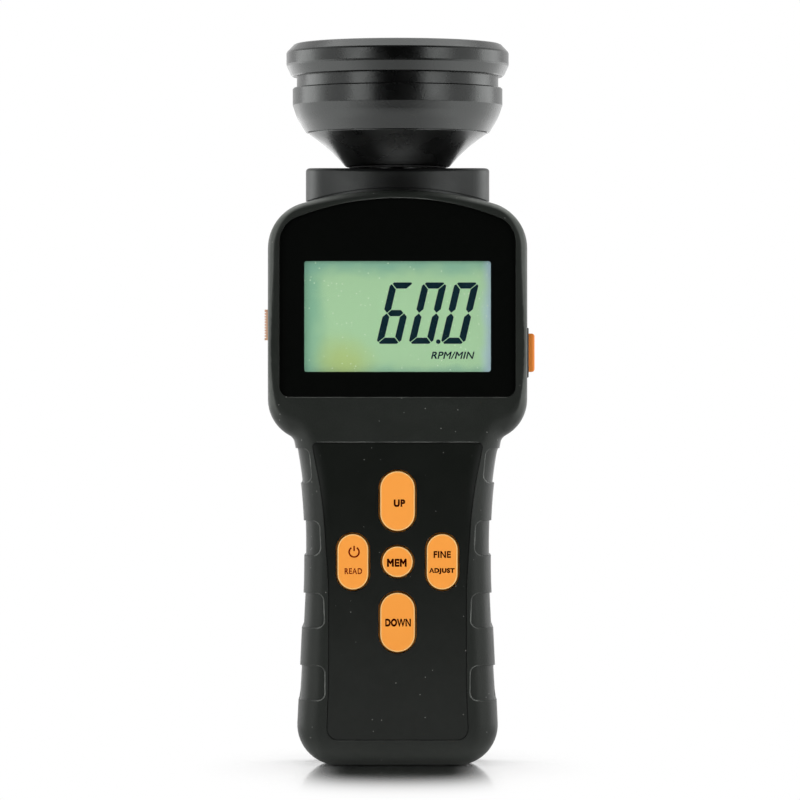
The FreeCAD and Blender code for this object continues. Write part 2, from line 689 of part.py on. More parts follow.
def transformer_core():
    """Ferrite core of the voltage converter: two side limbs and two yokes."""
    y = (HV_BOARD_Y[1], HV_BOARD_Y[1] + 11.0)
    block = box((-22.0, -6.0), y, (128.0, 143.0))
    return block.cut(box((-19.0, -9.0), (y[0] - 1, y[1] + 1), (131.0, 140.0)))


def transformer_coil():
    """Winding inside the core."""
    return box((-19.0, -9.0), (HV_BOARD_Y[1], HV_BOARD_Y[1] + 10.0), (131.0, 140.0))


def trigger_coil():
    """Trigger transformer for the flash tube."""
    return rod("y", (12.0, HV_BOARD_Y[1], 136.0), 10.0, 5.0)


def lamp_leads():
    """Three leads from the terminal block up the lamp's neck to the socket."""
    low, high = 149.0, CONE_BOTTOM_Z + 2.0
    return Part.makeCompound([rod("z", (x, -0.5, low), high - low, 0.7) for x in (-3.5, 0.0, 3.5)])


def battery_leads():
    """Two leads from the tray to the flash board."""
    low, high = TRAY_Z[1] + 1.5, 104.0
    return Part.makeCompound([rod("z", (x, 2.8, low), high - low, 0.7) for x in (-10.0, 10.0)])


# --- batteries ----------------------------------------------------------------------------------------
def cell(x, negative_z, positive_z):
    """One AA cell between its contacts, either way up."""
    way = 1 if positive_z > negative_z else -1
    can = rod("z", (x, CELL_Y, negative_z), way * (CELL_LENGTH - 1.3), CELL_RADIUS)
    can = bevelled_edges(can, 0.5, lambda bounds: bounds.ZLength < 0.01)
    nub = rod("z", (x, CELL_Y, positive_z - way * 1.3), way * 1.3, 2.75)
    return joined(can, nub)


def cell_ends():
    """(x, negative end z, positive end z) of the three cells, the middle one the other way up."""
    low, high = TRAY_Z[0] + 0.5, TRAY_Z[1] - 0.5
    return [
        (-CELL_PITCH, high - CELL_LENGTH, high),
        (0.0, low + CELL_LENGTH, low),
        (CELL_PITCH, high - CELL_LENGTH, high),
    ]


def aa_cells():
    """Three AA cells side by side."""
    return Part.makeCompound([cell(*ends) for ends in cell_ends()])


def battery_springs():
    """Bent leaf springs at the negative ends."""
    springs = []
    for x, negative_z, positive_z in cell_ends():
        way = 1 if positive_z > negative_z else -1
        wall_z = TRAY_Z[0] if way > 0 else TRAY_Z[1]
        leaf = plate([
            (-4.5, 0.0, 0), (4.5, 0.0, 0), (4.5, 0.4, 0), (-1.5, 0.9, 0.6), (1.8, 3.5, 0.8),
            (4.2, 2.6, 0), (4.4, 3.0, 0), (1.8, 4.0, 0.9), (-4.5, 0.8, 0.5),
        ], -2.5, 2.5)
        scale = abs(negative_z - wall_z) / leaf.BoundBox.ZMax
        matrix = FreeCAD.Matrix()
        matrix.scale(1.0, 1.0, way * scale)
        leaf = leaf.transformGeometry(matrix)
        leaf.translate(Vector(x, CELL_Y, wall_z))
        springs.append(leaf)
    return Part.makeCompound(springs)


def battery_contacts():
    """Flat plates at the positive ends."""
    plates = []
    for x, negative_z, positive_z in cell_ends():
        wall_z = TRAY_Z[1] if positive_z > negative_z else TRAY_Z[0]
        low, high = sorted((wall_z, positive_z))
        plates.append(box(around(x, 9.0), around(CELL_Y, 9.0), (low, high)))
    return Part.makeCompound(plates)


# --- screws -------------------------------------------------------------------------------------------
def case_screw(x, z):
    """Pan-head screw driven from the back, with a cross recess."""
    head = rod("y", (x, CASE_SCREW_SEAT_Y, z), 1.9, 2.75)
    head = bevelled_edges(head, 0.6, lambda bounds: bounds.YMin > CASE_SCREW_SEAT_Y + 1.8)
    shank = rod("y", (x, -10.0, z), CASE_SCREW_SEAT_Y + 10.0, CASE_SCREW_RADIUS)
    recess_y = (CASE_SCREW_SEAT_Y + 0.9, CASE_SCREW_SEAT_Y + 3)
    cross = [box(around(x, 3.0), recess_y, around(z, 0.6)), box(around(x, 0.6), recess_y, around(z, 3.0))]
    return joined(head, shank).cut(cross)


def board_screw(x, z, seat_y, way):
    """Small pan-head screw through a board; way is +1 when it is driven towards the back."""
    head = rod("y", (x, seat_y, z), -way * 1.2, 1.9)
    shank = rod("y", (x, seat_y, z), way * 4.5, BOARD_SCREW_RADIUS)
    return joined(head, shank)


def case_screws():
    """Six screws that draw the covers together."""
    return Part.makeCompound([case_screw(x, z) for x, z in CASE_SCREWS])


def board_screws():
    """Four screws in each board."""
    main = [board_screw(x, z, MAIN_BOARD_Y[1], -1) for x, z in MAIN_BOARD_SCREWS]
    flash = [board_screw(x, z, HV_BOARD_Y[0], 1) for x, z in HV_BOARD_SCREWS]
    return Part.makeCompound(main + flash)


# --- lamp head ----------------------------------------------------------------------------------------
def oval_block(shrink, z0, z1):
    """Upright block of the collar's oval of four tangent arcs, or of a parallel oval inside it."""
    a, b, end_radius = (size - shrink for size in (*COLLAR_AXES, COLLAR_END_RADIUS))
    drop = ((a - end_radius) ** 2 - (b - end_radius) ** 2) / (2 * (b - end_radius))
    flank_radius = b + drop
    reach = flank_radius / (flank_radius - end_radius)
    x, y = (a - end_radius) * reach, drop * (reach - 1)
    arcs = [
        ((x, -y), (a, 0), (x, y)),
        ((x, y), (0, b), (-x, y)),
        ((-x, y), (-a, 0), (-x, -y)),
        ((-x, -y), (0, -b), (x, -y)),
    ]
    wire = Part.Wire([Part.Arc(*(Vector(px, py, z0) for px, py in arc)).toShape() for arc in arcs])
    return Part.Face(wire).extrude(Vector(0, 0, z1 - z0))


def lamp_collar():
    """Oval collar that sits on the arch, with a tube that the covers close round."""
    crown = oval_block(0.0, NUT_TOP_Z, COLLAR_TOP_Z + 1)
    dome = rod("x", (-40, 0, COLLAR_TOP_Z - COLLAR_CROWN_RADIUS), 80, COLLAR_CROWN_RADIUS)
    crown = crown.common(dome).removeSplitter()
    crown = rounded_edges(crown, 1.0, lambda bounds: bounds.ZMin > COLLAR_TOP_Z - 1.5)
    raised_case = case_block().copy()
    raised_case.translate(Vector(0, 0, COLLAR_CASE_GAP))
    crown = crown.cut(raised_case)
    lip = oval_block(0.6, NUT_TOP_Z, COLLAR_TOP_Z - 3).cut(case_block())
    tube = rod("z", (0, 0, NUT_TOP_Z), COLLAR_TOP_Z - NUT_TOP_Z - 3, COLLAR_TUBE_RADIUS)
    return joined(crown, lip, tube).cut(rod("z", (0, 0, 140), 60, SPIGOT_RADIUS))


def neck_washer():
    """Thin rubber washer under the lamp's cone."""
    washer = rod("z", (0, 0, COLLAR_TOP_Z), CONE_BOTTOM_Z - COLLAR_TOP_Z, 14.0)
    return washer.cut(rod("z", (0, 0, COLLAR_TOP_Z - 1), 3, SPIGOT_RADIUS))


def neck_nut():
    """Hexagon nut inside the case that holds the lamp head on its collar."""
    corner_radius = NUT_ACROSS_FLATS / math.sqrt(3)
    angles = [math.radians(60 * i) for i in range(7)]
    rim = [(corner_radius * math.cos(angle), corner_radius * math.sin(angle)) for angle in angles]
    corners = [Vector(x, y, SPIGOT_BOTTOM_Z) for x, y in rim]
    hexagon = Part.Face(Part.makePolygon(corners)).extrude(Vector(0, 0, NUT_TOP_Z - SPIGOT_BOTTOM_Z))
    return hexagon.cut(rod("z", (0, 0, SPIGOT_BOTTOM_Z - 1), 10, SPIGOT_RADIUS))


def neck_cone():
    """Turned cone that carries the lamp cup, with its hollow spigot down into the case."""
    return turned([
        (SPIGOT_BORE, SPIGOT_BOTTOM_Z, 0),
        (SPIGOT_RADIUS, SPIGOT_BOTTOM_Z, 0),
        (SPIGOT_RADIUS, CONE_BOTTOM_Z, 0),
        (14.9, CONE_BOTTOM_Z, -0.3),
        (19.6, 177.4, 40.0),
        (25.8, 181.75, 0),
        (25.8, CONE_TOP_Z, 0),
        (22.9, CONE_TOP_Z, 0),
        (16.6, 177.4, 0),
        (13.0, CONE_BOTTOM_Z + 2.0, 0),
        (SPIGOT_BORE, CONE_BOTTOM_Z + 2.0, 0),
    ])


def lamp_cup():
    """Bowl-shaped cup round the reflector, with a stepped neck for the bezel ring."""
    return turned([
        (12.0, CONE_TOP_Z, 0),
        (26.1, CONE_TOP_Z, 0),
        (26.5, 182.05, 0),
        (29.1, 186.3, 12.0),
        (CUP_RADIUS, 189.9, 0.4),
        (CUP_RADIUS, GASKET_BOTTOM_Z, -0.35),
        (RIM_RADIUS, GASKET_BOTTOM_Z, 0),
        (RIM_RADIUS, CUP_RIM_Z, 0),
        (27.0, CUP_RIM_Z, 0),
        (27.0, 191.0, 0),
        (23.5, 184.0, 0),
        (12.0, 184.0, 0),
    ])


def bezel_gasket():
    """Rubber ring in the groove between the cup and the bezel ring."""
    return turned([
        (RIM_RADIUS, GASKET_BOTTOM_Z, 0),
        (29.1, GASKET_BOTTOM_Z, 0),
        (29.1, BEZEL_RING_BOTTOM_Z, 0),
        (RIM_RADIUS, BEZEL_RING_BOTTOM_Z, 0),
    ])


def bezel_ring():
    """Screw-on ring that holds the front glass."""
    lip_z = LAMP_TOP_Z - 1.0
    return turned([
        (RIM_RADIUS, BEZEL_RING_BOTTOM_Z, 0),
        (30.6, BEZEL_RING_BOTTOM_Z, -0.3),
        (32.1, 201.4, -0.3),
        (32.1, 205.1, -0.3),
        (29.75, LAMP_TOP_Z, -0.3),
        (26.5, LAMP_TOP_Z, -0.3),
        (26.5, lip_z, 0),
        (RIM_RADIUS, lip_z, 0),
    ])


def reflector():
    """Spun parabolic bowl with a flange on the cup's rim."""
    top_z = CUP_RIM_Z + REFLECTOR_THICKNESS
    steepness = (top_z - REFLECTOR_FOOT_Z) / (REFLECTOR_MOUTH ** 2 - REFLECTOR_HOLE ** 2)
    bowl = []
    for step in range(REFLECTOR_STEPS + 1):
        radius = REFLECTOR_HOLE + (REFLECTOR_MOUTH - REFLECTOR_HOLE) * step / REFLECTOR_STEPS
        bowl.append((radius, REFLECTOR_FOOT_Z + steepness * (radius ** 2 - REFLECTOR_HOLE ** 2), 0))
    flange = [(RIM_RADIUS, top_z, 0), (RIM_RADIUS, CUP_RIM_Z, 0), (REFLECTOR_MOUTH + 0.6, CUP_RIM_Z, 0)]
    underside = [(radius, z - 0.9, 0) for radius, z, _ in reversed(bowl[:-1])]
    return turned(bowl + flange + underside)


def glass_seal():
    """Rubber ring between the reflector's flange and the front glass."""
    ring = rod("z", (0, 0, CUP_RIM_Z + 0.6), 0.5, RIM_RADIUS)
    return ring.cut(rod("z", (0, 0, CUP_RIM_Z), 3, 25.6))


def glass_window():
    """Front glass of the lamp."""
    low = CUP_RIM_Z + 1.1
    return rod("z", (0, 0, low), LAMP_TOP_Z - 1.0 - low, RIM_RADIUS)


def lamp_socket():
    """Ceramic socket through the floor of the cup."""
    return turned([
        (0.0, CONE_BOTTOM_Z + 2.0, 0),
        (9.0, CONE_BOTTOM_Z + 2.0, 0),
        (9.0, CONE_TOP_Z, 0),
        (12.0, CONE_TOP_Z, 0),
        (12.0, 184.0, 0),
        (REFLECTOR_HOLE, REFLECTOR_FOOT_Z - 0.9, 0),
        (REFLECTOR_HOLE, REFLECTOR_FOOT_Z, 0),
        (0.0, REFLECTOR_FOOT_Z, 0),
    ])


def bent_bar(radius):
    """Round bar along the flash tube's U."""
    legs = [rod("z", (x, 0, REFLECTOR_FOOT_Z), TUBE_BEND_Z - REFLECTOR_FOOT_Z, radius)
            for x in (-TUBE_LEG_X, TUBE_LEG_X)]
    circle = Part.makeCircle(radius, Vector(TUBE_LEG_X, 0, TUBE_BEND_Z), Vector(0, 0, 1))
    bend = Part.Face(Part.Wire([circle])).revolve(Vector(0, 0, TUBE_BEND_Z), Vector(0, -1, 0), 180)
    return joined(bend, *legs)


def flash_tube():
    """U-shaped xenon tube."""
    return bent_bar(1.9).cut(bent_bar(1.2))


def tube_electrodes():
    """Metal electrodes in the feet of the tube."""
    feet = [(x, 0, REFLECTOR_FOOT_Z) for x in (-TUBE_LEG_X, TUBE_LEG_X)]
    return Part.makeCompound([rod("z", foot, 4.5, 0.7) for foot in feet])


def trigger_wire():
    """Trigger band round one leg of the tube, with its wire down to the socket."""
    band = rod("z", (TUBE_LEG_X, 0, 191.5), 1.5, 2.15).cut(rod("z", (TUBE_LEG_X, 0, 190), 5, 1.9))
    return joined(band, rod("z", (TUBE_LEG_X, -2.3, REFLECTOR_FOOT_Z), 5.8, 0.3))


# --- output -------------------------------------------------------------------------------------------
def all_parts():
    """Every sub-part by name."""
    parts = {f"key_{name}": key(*place) for name, place in KEYS.items()}
    makers = [
        front_cover, rear_cover, battery_door, display_lens, lens_bond_frame, keypad_plate, keypad_mat,
        side_button_bezel, side_button, side_switch_plunger, side_switch_body, slide_knob,
        slide_switch_lever, slide_switch_body, lcd_glass, lcd_frame, zebra_strips, main_board, board_chips,
        hv_board, board_header, flash_capacitor, transformer_core, transformer_coil, trigger_coil,
        lamp_leads, battery_leads, aa_cells, battery_springs, battery_contacts, case_screws, board_screws,
        lamp_collar, neck_washer, neck_nut, neck_cone, lamp_cup, bezel_gasket, bezel_ring, reflector,
        glass_seal, glass_window, lamp_socket, flash_tube, tube_electrodes, trigger_wire,
    ]
    parts.update({maker.__name__: maker() for maker in makers})
    return parts


def main():
    """Write one STEP file per sub-part."""
    os.makedirs("parts", exist_ok=True)
    for name, shape in all_parts().items():
        shape.exportStep(f"parts/{name}.step")


main()
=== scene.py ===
"""A handheld xenon stroboscope: its finishes, printed and moulded detail, and a plain studio."""

import logging
import math
from collections.abc import Callable, Iterator
from contextlib import contextmanager
from dataclasses import dataclass, field
from enum import Enum
from functools import cache

import bmesh
import bpy
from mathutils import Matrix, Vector


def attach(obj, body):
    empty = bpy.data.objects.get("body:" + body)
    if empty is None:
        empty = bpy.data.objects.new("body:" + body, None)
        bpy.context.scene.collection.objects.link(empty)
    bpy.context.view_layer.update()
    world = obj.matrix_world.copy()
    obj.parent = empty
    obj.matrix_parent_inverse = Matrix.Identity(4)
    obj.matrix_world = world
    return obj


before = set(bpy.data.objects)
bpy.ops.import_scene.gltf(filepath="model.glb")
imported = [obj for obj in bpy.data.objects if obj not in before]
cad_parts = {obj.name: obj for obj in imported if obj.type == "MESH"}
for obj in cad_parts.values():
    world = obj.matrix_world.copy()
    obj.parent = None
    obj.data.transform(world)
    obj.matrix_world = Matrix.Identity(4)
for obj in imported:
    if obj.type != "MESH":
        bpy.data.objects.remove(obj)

log = logging.getLogger("stroboscope")

Colour = tuple[float, float, float, float]
Pair = tuple[float, float]
Socket = bpy.types.NodeSocket
Sockets = bpy.types.bpy_prop_collection
Piece = bpy.types.Object

MM = 0.001
SAME_PLACE = 1e-6  # how close two places count as one, in metres
ALONG = 0.9  # how much of a direction lies on an axis when it counts as along it
ORIGIN = (0.0, 0.0, 0.0)
SLANT = Vector((1.0, 2.3, 5.1))  # a way in which no two places of a piece are level
RISE: Pair = (0.0, 1.0)
FALL: Pair = (1.0, 0.0)
PURE_WHITE: Colour = (1.0, 1.0, 1.0, 1.0)
BEVEL_SAMPLES = 4


def srgb(*screen: int) -> Colour:
    """Return the linear colour of three screen values (red, green, blue) from 0 to 255."""
    values = [value / 255 for value in screen]
    return (*[v / 12.92 if v <= 0.04045 else ((v + 0.055) / 1.055) ** 2.4 for v in values], 1.0)


# ---------------------------------------------------------------- node trees


@dataclass
class Graph:
    """A node tree with short calls that add nodes and join them."""

    tree: bpy.types.NodeTree

    def add(self, kind: str, inputs: dict | None = None, **settings: object) -> bpy.types.Node:
        """Add a node.

        Args:
            kind: the node's type.
            inputs: a value or another node's socket for each input, by its name or number.
            **settings: the node's own properties.

        Returns:
            The new node.
        """
        node = self.tree.nodes.new(kind)
        for name, value in settings.items():
            setattr(node, name, value)
        for key, value in (inputs or {}).items():
            if isinstance(value, Socket):
                self.tree.links.new(value, node.inputs[key])
            else:
                node.inputs[key].default_value = value
        return node

    def math(self, operation: str, first: Socket | float, *others: Socket | float) -> Socket:
        """Work out a number with Math nodes.

        Args:
            operation: what each node does.
            first: the value to start from.
            *others: the values taken in after it, from the left; none for a node of one value.

        Returns:
            The result.
        """
        result = first
        for other in others or (0.0,):
            result = self.add("ShaderNodeMath", {0: result, 1: other}, operation=operation).outputs[0]
        return result

    def mix(self, share: Socket | float, first: Socket | Colour, second: Socket | Colour) -> Socket:
        """Return a colour between two, by a share from 0 to 1."""
        node = self.add("ShaderNodeMix", {0: share, 6: first, 7: second}, data_type="RGBA")
        return node.outputs[2]

    def blend(self, share: Socket, first: Socket | float, second: Socket | float) -> Socket:
        """Return a number between two, by a share from 0 to 1."""
        return self.add("ShaderNodeMix", {0: share, 2: first, 3: second}).outputs[0]

    def layer(self, share: Socket, under: bpy.types.Node, over: bpy.types.Node) -> bpy.types.Node:
        """Return a shader that lies between two, by a share from 0 to 1."""
        return self.add("ShaderNodeMixShader", {0: share, 1: under.outputs[0], 2: over.outputs[0]})

    def span(self, value: Socket, start: Pair = RISE, end: Pair = RISE) -> Socket:
        """Map a value smoothly from one range onto another.

        Args:
            value: the value to map.
            start: the range it comes in.
            end: what the two ends of that range become.

        Returns:
            The mapped value, which never leaves the second range.
        """
        limits = {"Value": value, 1: start[0], 2: start[1], 3: end[0], 4: end[1]}
        return self.add("ShaderNodeMapRange", limits, interpolation_type="SMOOTHSTEP").outputs[0]

    def noise(self, place: Socket, size: Socket | float, detail: float = 2.0) -> Socket:
        """Return noise whose lumps are about as large as a size in metres."""
        inputs = {"Vector": place, "Scale": self.math("DIVIDE", 1.0, size), "Detail": detail}
        return self.add("ShaderNodeTexNoise", inputs).outputs["Fac"]

    def cells(self, place: Socket, size: Socket | float, **settings: object) -> Sockets:
        """Return the outputs of a pattern of cells about as large as a size in metres."""
        inputs = {"Vector": place, "Scale": self.math("DIVIDE", 1.0, size)}
        return self.add("ShaderNodeTexVoronoi", inputs, **settings).outputs

    def place(self) -> Socket:
        """Return the piece's own coordinates, in metres."""
        return self.add("ShaderNodeTexCoord").outputs["Object"]

    def normal(self) -> Socket:
        """Return the way that the surface faces."""
        return self.add("ShaderNodeNewGeometry").outputs["Normal"]

    def parts(self, vector: Socket) -> Sockets:
        """Return the three numbers of a vector, by the names of their axes."""
        return self.add("ShaderNodeSeparateXYZ", {0: vector}).outputs

    def reach(self, first: Socket, second: Socket) -> Socket:
        """Return the length of the slanting side over two sides at right angles."""
        squares = [self.math("POWER", side, 2.0) for side in (first, second)]
        return self.math("SQRT", self.math("ADD", *squares))

    def rays(self) -> Sockets:
        """Return the outputs that tell what kind of ray meets the surface."""
        return self.add("ShaderNodeLightPath").outputs

    def mirrored(self, rays: Sockets) -> Socket:
        """Return 1 on the rays that gloss and glass send out."""
        return self.math("MAXIMUM", rays["Is Glossy Ray"], rays["Is Transmission Ray"])


@dataclass
class Group(Graph):
    """The tree of a shader node group that takes and gives numbers.

    Attributes:
        given: the numbers that it takes, by their names.
    """

    given: Sockets

    @classmethod
    def start(cls, name: str, **usual: float) -> "Group":
        """Make an empty group.

        Args:
            name: what the group is called.
            **usual: each number that it takes, with its usual value.

        Returns:
            The group, ready for its nodes.
        """
        tree = bpy.data.node_groups.new(name, "ShaderNodeTree")
        for label, value in usual.items():
            socket = tree.interface.new_socket(label, in_out="INPUT", socket_type="NodeSocketFloat")
            socket.default_value = value
        return cls(tree, tree.nodes.new("NodeGroupInput").outputs)

    def give(self, **results: Socket) -> bpy.types.NodeTree:
        """Let the group give some numbers.

        Args:
            **results: each number, by the name it is given under.

        Returns:
            The group's finished tree.
        """
        for label in results:
            self.tree.interface.new_socket(label, in_out="OUTPUT", socket_type="NodeSocketFloat")
        self.add("NodeGroupOutput", results)
        return self.tree


@cache
def moulded_grain() -> bpy.types.NodeTree:
    """Make the group for spark-eroded grain.

    Returns:
        The group, which gives a height in metres and a slow mottle from 0 to 1.
    """
    blotch = 9 * MM
    group = Group.start("moulded_grain", Pitch=0.4 * MM, Depth=0.01 * MM)
    place = group.place()
    fine = group.noise(place, group.given["Pitch"], detail=3.0)
    height = group.math("MULTIPLY", fine, group.given["Depth"])
    mottle = group.span(group.noise(place, blotch), (0.35, 0.65))
    return group.give(Height=height, Mottle=mottle)


@cache
def edge_rubbing_and_painted_light() -> bpy.types.NodeTree:
    """Make the group for edges that show rubbing and painted light.

    The mask stands for rubbing, and also for painted light along an edge: a painted highlight
    where a finish tints edges lighter, painted shade where it tints them darker. An edge that
    turns in towards the middle gets none, and one that turns down gets less, as they face away
    from the lamps. In front, the keypad panel's foot is spared, and the sill under the display's
    lens gets less.

    Returns:
        The group, which gives a mask that is 1 on such an edge.
    """
    panel_side, panel_foot = (17.5 * MM, 19.5 * MM), (25 * MM, 35 * MM)
    sill, sill_end, front = 106 * MM, (3 * MM, 6 * MM), (-2 * MM, 2 * MM)
    inwards = (-0.16, -0.03)
    group = Group.start("edge_rubbing_and_painted_light", Radius=0.35 * MM, Patchiness=6 * MM)
    rounded = group.add("ShaderNodeBevel", {"Radius": group.given["Radius"]}, samples=BEVEL_SAMPLES)
    both = {0: rounded.outputs["Normal"], 1: group.normal()}
    agreement = group.add("ShaderNodeVectorMath", both, operation="DOT_PRODUCT").outputs["Value"]
    change = group.add("ShaderNodeVectorMath", both, operation="SUBTRACT").outputs["Vector"]
    place = group.place()
    spot, turn = group.parts(place), group.parts(change)
    aside = group.math("MULTIPLY", turn["X"], group.math("SIGN", spot["X"]))
    from_sill = group.math("ABSOLUTE", group.math("SUBTRACT", spot["Z"], sill))
    off_panel = group.math(
        "MAXIMUM",
        group.span(group.math("ABSOLUTE", spot["X"]), panel_side, (0.15, 1.0)),
        group.span(spot["Z"], panel_foot),
    )
    in_front = group.math("MULTIPLY", off_panel, group.span(from_sill, sill_end, (0.35, 1.0)))
    # Painted light along edges: lighter as a highlight on the case and keys, darker as shade round the
    # keypad panel, patchy like rubbing.
    mask = group.math(
        "MULTIPLY",
        group.span(agreement, (0.80, 0.995), FALL),
        group.span(aside, inwards),
        group.span(turn["Z"], inwards, (0.7, 1.0)),
        group.math("MAXIMUM", in_front, group.span(spot["Y"], front)),
        group.span(group.noise(place, group.given["Patchiness"]), (0.38, 0.60), (0.40, 1.0)),
    )
    return group.give(Mask=mask)


@cache
def case_painted_sheen() -> bpy.types.NodeTree:
    """Make the group for a case's painted sheen: a painted highlight on its rim and on its rounded
    sides, and a painted reflection of the floor towards its foot.

    Returns:
        The group, which gives masks for the case's rim, for its rounded sides (faint below the
        head) and for its foot.
    """
    cloud_size, head_fade = 2.5 * MM, 8 * MM
    group = Group.start("case_painted_sheen", Foot=9 * MM, Fade=7 * MM, Head=98 * MM)
    place = group.place()
    height, facing = group.parts(place)["Z"], group.parts(group.normal())
    cloud = group.span(group.noise(place, cloud_size), (0.30, 0.70), (0.85, 1.0))
    turned = group.math("ABSOLUTE", facing["X"])
    forward = group.span(facing["Y"], (-0.30, -0.10), FALL)
    upward = group.span(facing["Z"], (0.30, 0.80))
    above = group.math("SUBTRACT", height, group.given["Head"])
    on_head = group.span(above, (0.0, head_fade), (0.10, 1.0))
    below = group.math("SUBTRACT", group.given["Foot"], height)
    low = group.span(group.math("DIVIDE", below, group.given["Fade"]))
    # Rim and Sides are painted highlights; the foot's mask is a painted reflection of the floor.
    return group.give(
        Rim=group.math("MULTIPLY", upward, forward, group.span(turned, (0.0, 0.25)), cloud),
        Sides=group.math("MULTIPLY", group.span(turned, (0.20, 0.45)), forward, on_head, cloud),
        Scuff=group.math("MULTIPLY", low, cloud),
    )


@cache
def dust_specks() -> bpy.types.NodeTree:
    """Make the group for settled dust.

    Returns:
        The group, which gives a mask that is 1 on each of a few small specks.
    """
    bare_share = 0.5
    group = Group.start("dust_specks", Spacing=2.2 * MM, Speck=0.05)
    cells = group.cells(group.place(), group.given["Spacing"])
    near = group.math("LESS_THAN", cells["Distance"], group.given["Speck"])
    lot = group.add("ShaderNodeSeparateColor", {0: cells["Color"]}).outputs[0]
    drawn = group.math("GREATER_THAN", lot, bare_share)
    return group.give(Mask=group.math("MULTIPLY", near, drawn))


@cache
def front_slope() -> bpy.types.NodeTree:
    """Make the group that finds how steeply a surface turns away from the front.

    Returns:
        The group, which gives a mask of the shoulder and one of the sides.
    """
    soft, side_soft = 0.03, 0.05
    group = Group.start("front_slope", Steep=0.54, Flat=0.95)
    facing = group.math("MULTIPLY", group.parts(group.normal())["Y"], -1.0)
    above_steep = group.math("SUBTRACT", facing, group.given["Steep"])
    below_flat = group.math("SUBTRACT", group.given["Flat"], facing)
    edges = [group.span(way, (0.0, soft)) for way in (above_steep, below_flat)]
    side = group.span(above_steep, (-side_soft, 0.0), FALL)
    return group.give(Shoulder=group.math("MULTIPLY", *edges), Side=side)


@cache
def turning_lines() -> bpy.types.NodeTree:
    """Make the group for a lathe's fine lines round the upright middle axis.

    Returns:
        The group, which gives a height in metres.
    """
    group = Group.start("turning_lines", Pitch=0.15 * MM, Depth=0.002 * MM)
    spot = group.parts(group.place())
    along = group.add("ShaderNodeCombineXYZ", {"X": group.reach(spot["X"], spot["Y"]), "Y": spot["Z"]})
    lines = group.noise(along.outputs[0], group.given["Pitch"])
    return group.give(Height=group.math("MULTIPLY", lines, group.given["Depth"]))


# ---------------------------------------------------------------- finishes


@dataclass
class Surface:
    """A new material, with its graph and its Principled shader."""

    material: bpy.types.Material
    graph: Graph
    shader: bpy.types.Node

    def feed(self, name: str, source: Socket) -> None:
        """Join a node's output to one of the shader's inputs."""
        self.graph.tree.links.new(source, self.shader.inputs[name])

    def use(self, group: bpy.types.NodeTree, **values: float) -> Sockets:
        """Place a shader node group, with a value for each input named, and return its outputs."""
        return self.graph.add("ShaderNodeGroup", values, node_tree=group).outputs

    def tint(self, mask: Socket, share: float, under: Socket | Colour, over: Colour) -> Socket:
        """Lay a colour over another where a mask shows, and as strongly as a share says."""
        return self.graph.mix(self.graph.math("MULTIPLY", mask, share), under, over)

    def bump(self, height: Socket, soften: float) -> None:
        """Give the shader its relief.

        Args:
            height: the relief's height, in metres.
            soften: the radius, in metres, that sharp edges look rounded to.
        """
        edge = self.graph.add("ShaderNodeBevel", {"Radius": soften}, samples=BEVEL_SAMPLES)
        inputs = {"Height": height, "Distance": 1.0, "Strength": 1.0, "Normal": edge.outputs[0]}
        self.feed("Normal", self.graph.add("ShaderNodeBump", inputs).outputs[0])

    def vary(self, mask: Socket, by: float) -> None:
        """Let the roughness move by so much each way, as a mask goes from 0 to 1."""
        middle = self.shader.inputs["Roughness"].default_value
        self.feed("Roughness", self.graph.span(mask, end=(middle - by, middle + by)))

    def put_out(self, shader: bpy.types.Node) -> None:
        """Show another shader instead of the Principled one."""
        surface = self.graph.tree.nodes["Material Output"].inputs["Surface"]
        self.graph.tree.links.new(shader.outputs[0], surface)


@dataclass(frozen=True)
class Finish:
    """What every finish has: its name, colour and gloss.

    Attributes:
        name: the material's name.
        colour: its main colour.
        roughness: how dull it is, from 0 to 1.
    """

    name: str
    colour: Colour
    roughness: float

    def start(self, metallic: float = 0.0) -> Surface:
        """Make a plain material.

        Args:
            metallic: 1 for bare metal, 0 for all else.

        Returns:
            The material, with its graph and its shader.
        """
        material = bpy.data.materials.new(self.name)
        material.use_nodes = True
        material.diffuse_color = self.colour
        graph = Graph(material.node_tree)
        shader = graph.tree.nodes["Principled BSDF"]
        values = {"Base Color": self.colour, "Roughness": self.roughness, "Metallic": metallic}
        for name, value in values.items():
            shader.inputs[name].default_value = value
        return Surface(material, graph, shader)

    def make(self) -> bpy.types.Material:
        """Make the material."""
        raise NotImplementedError


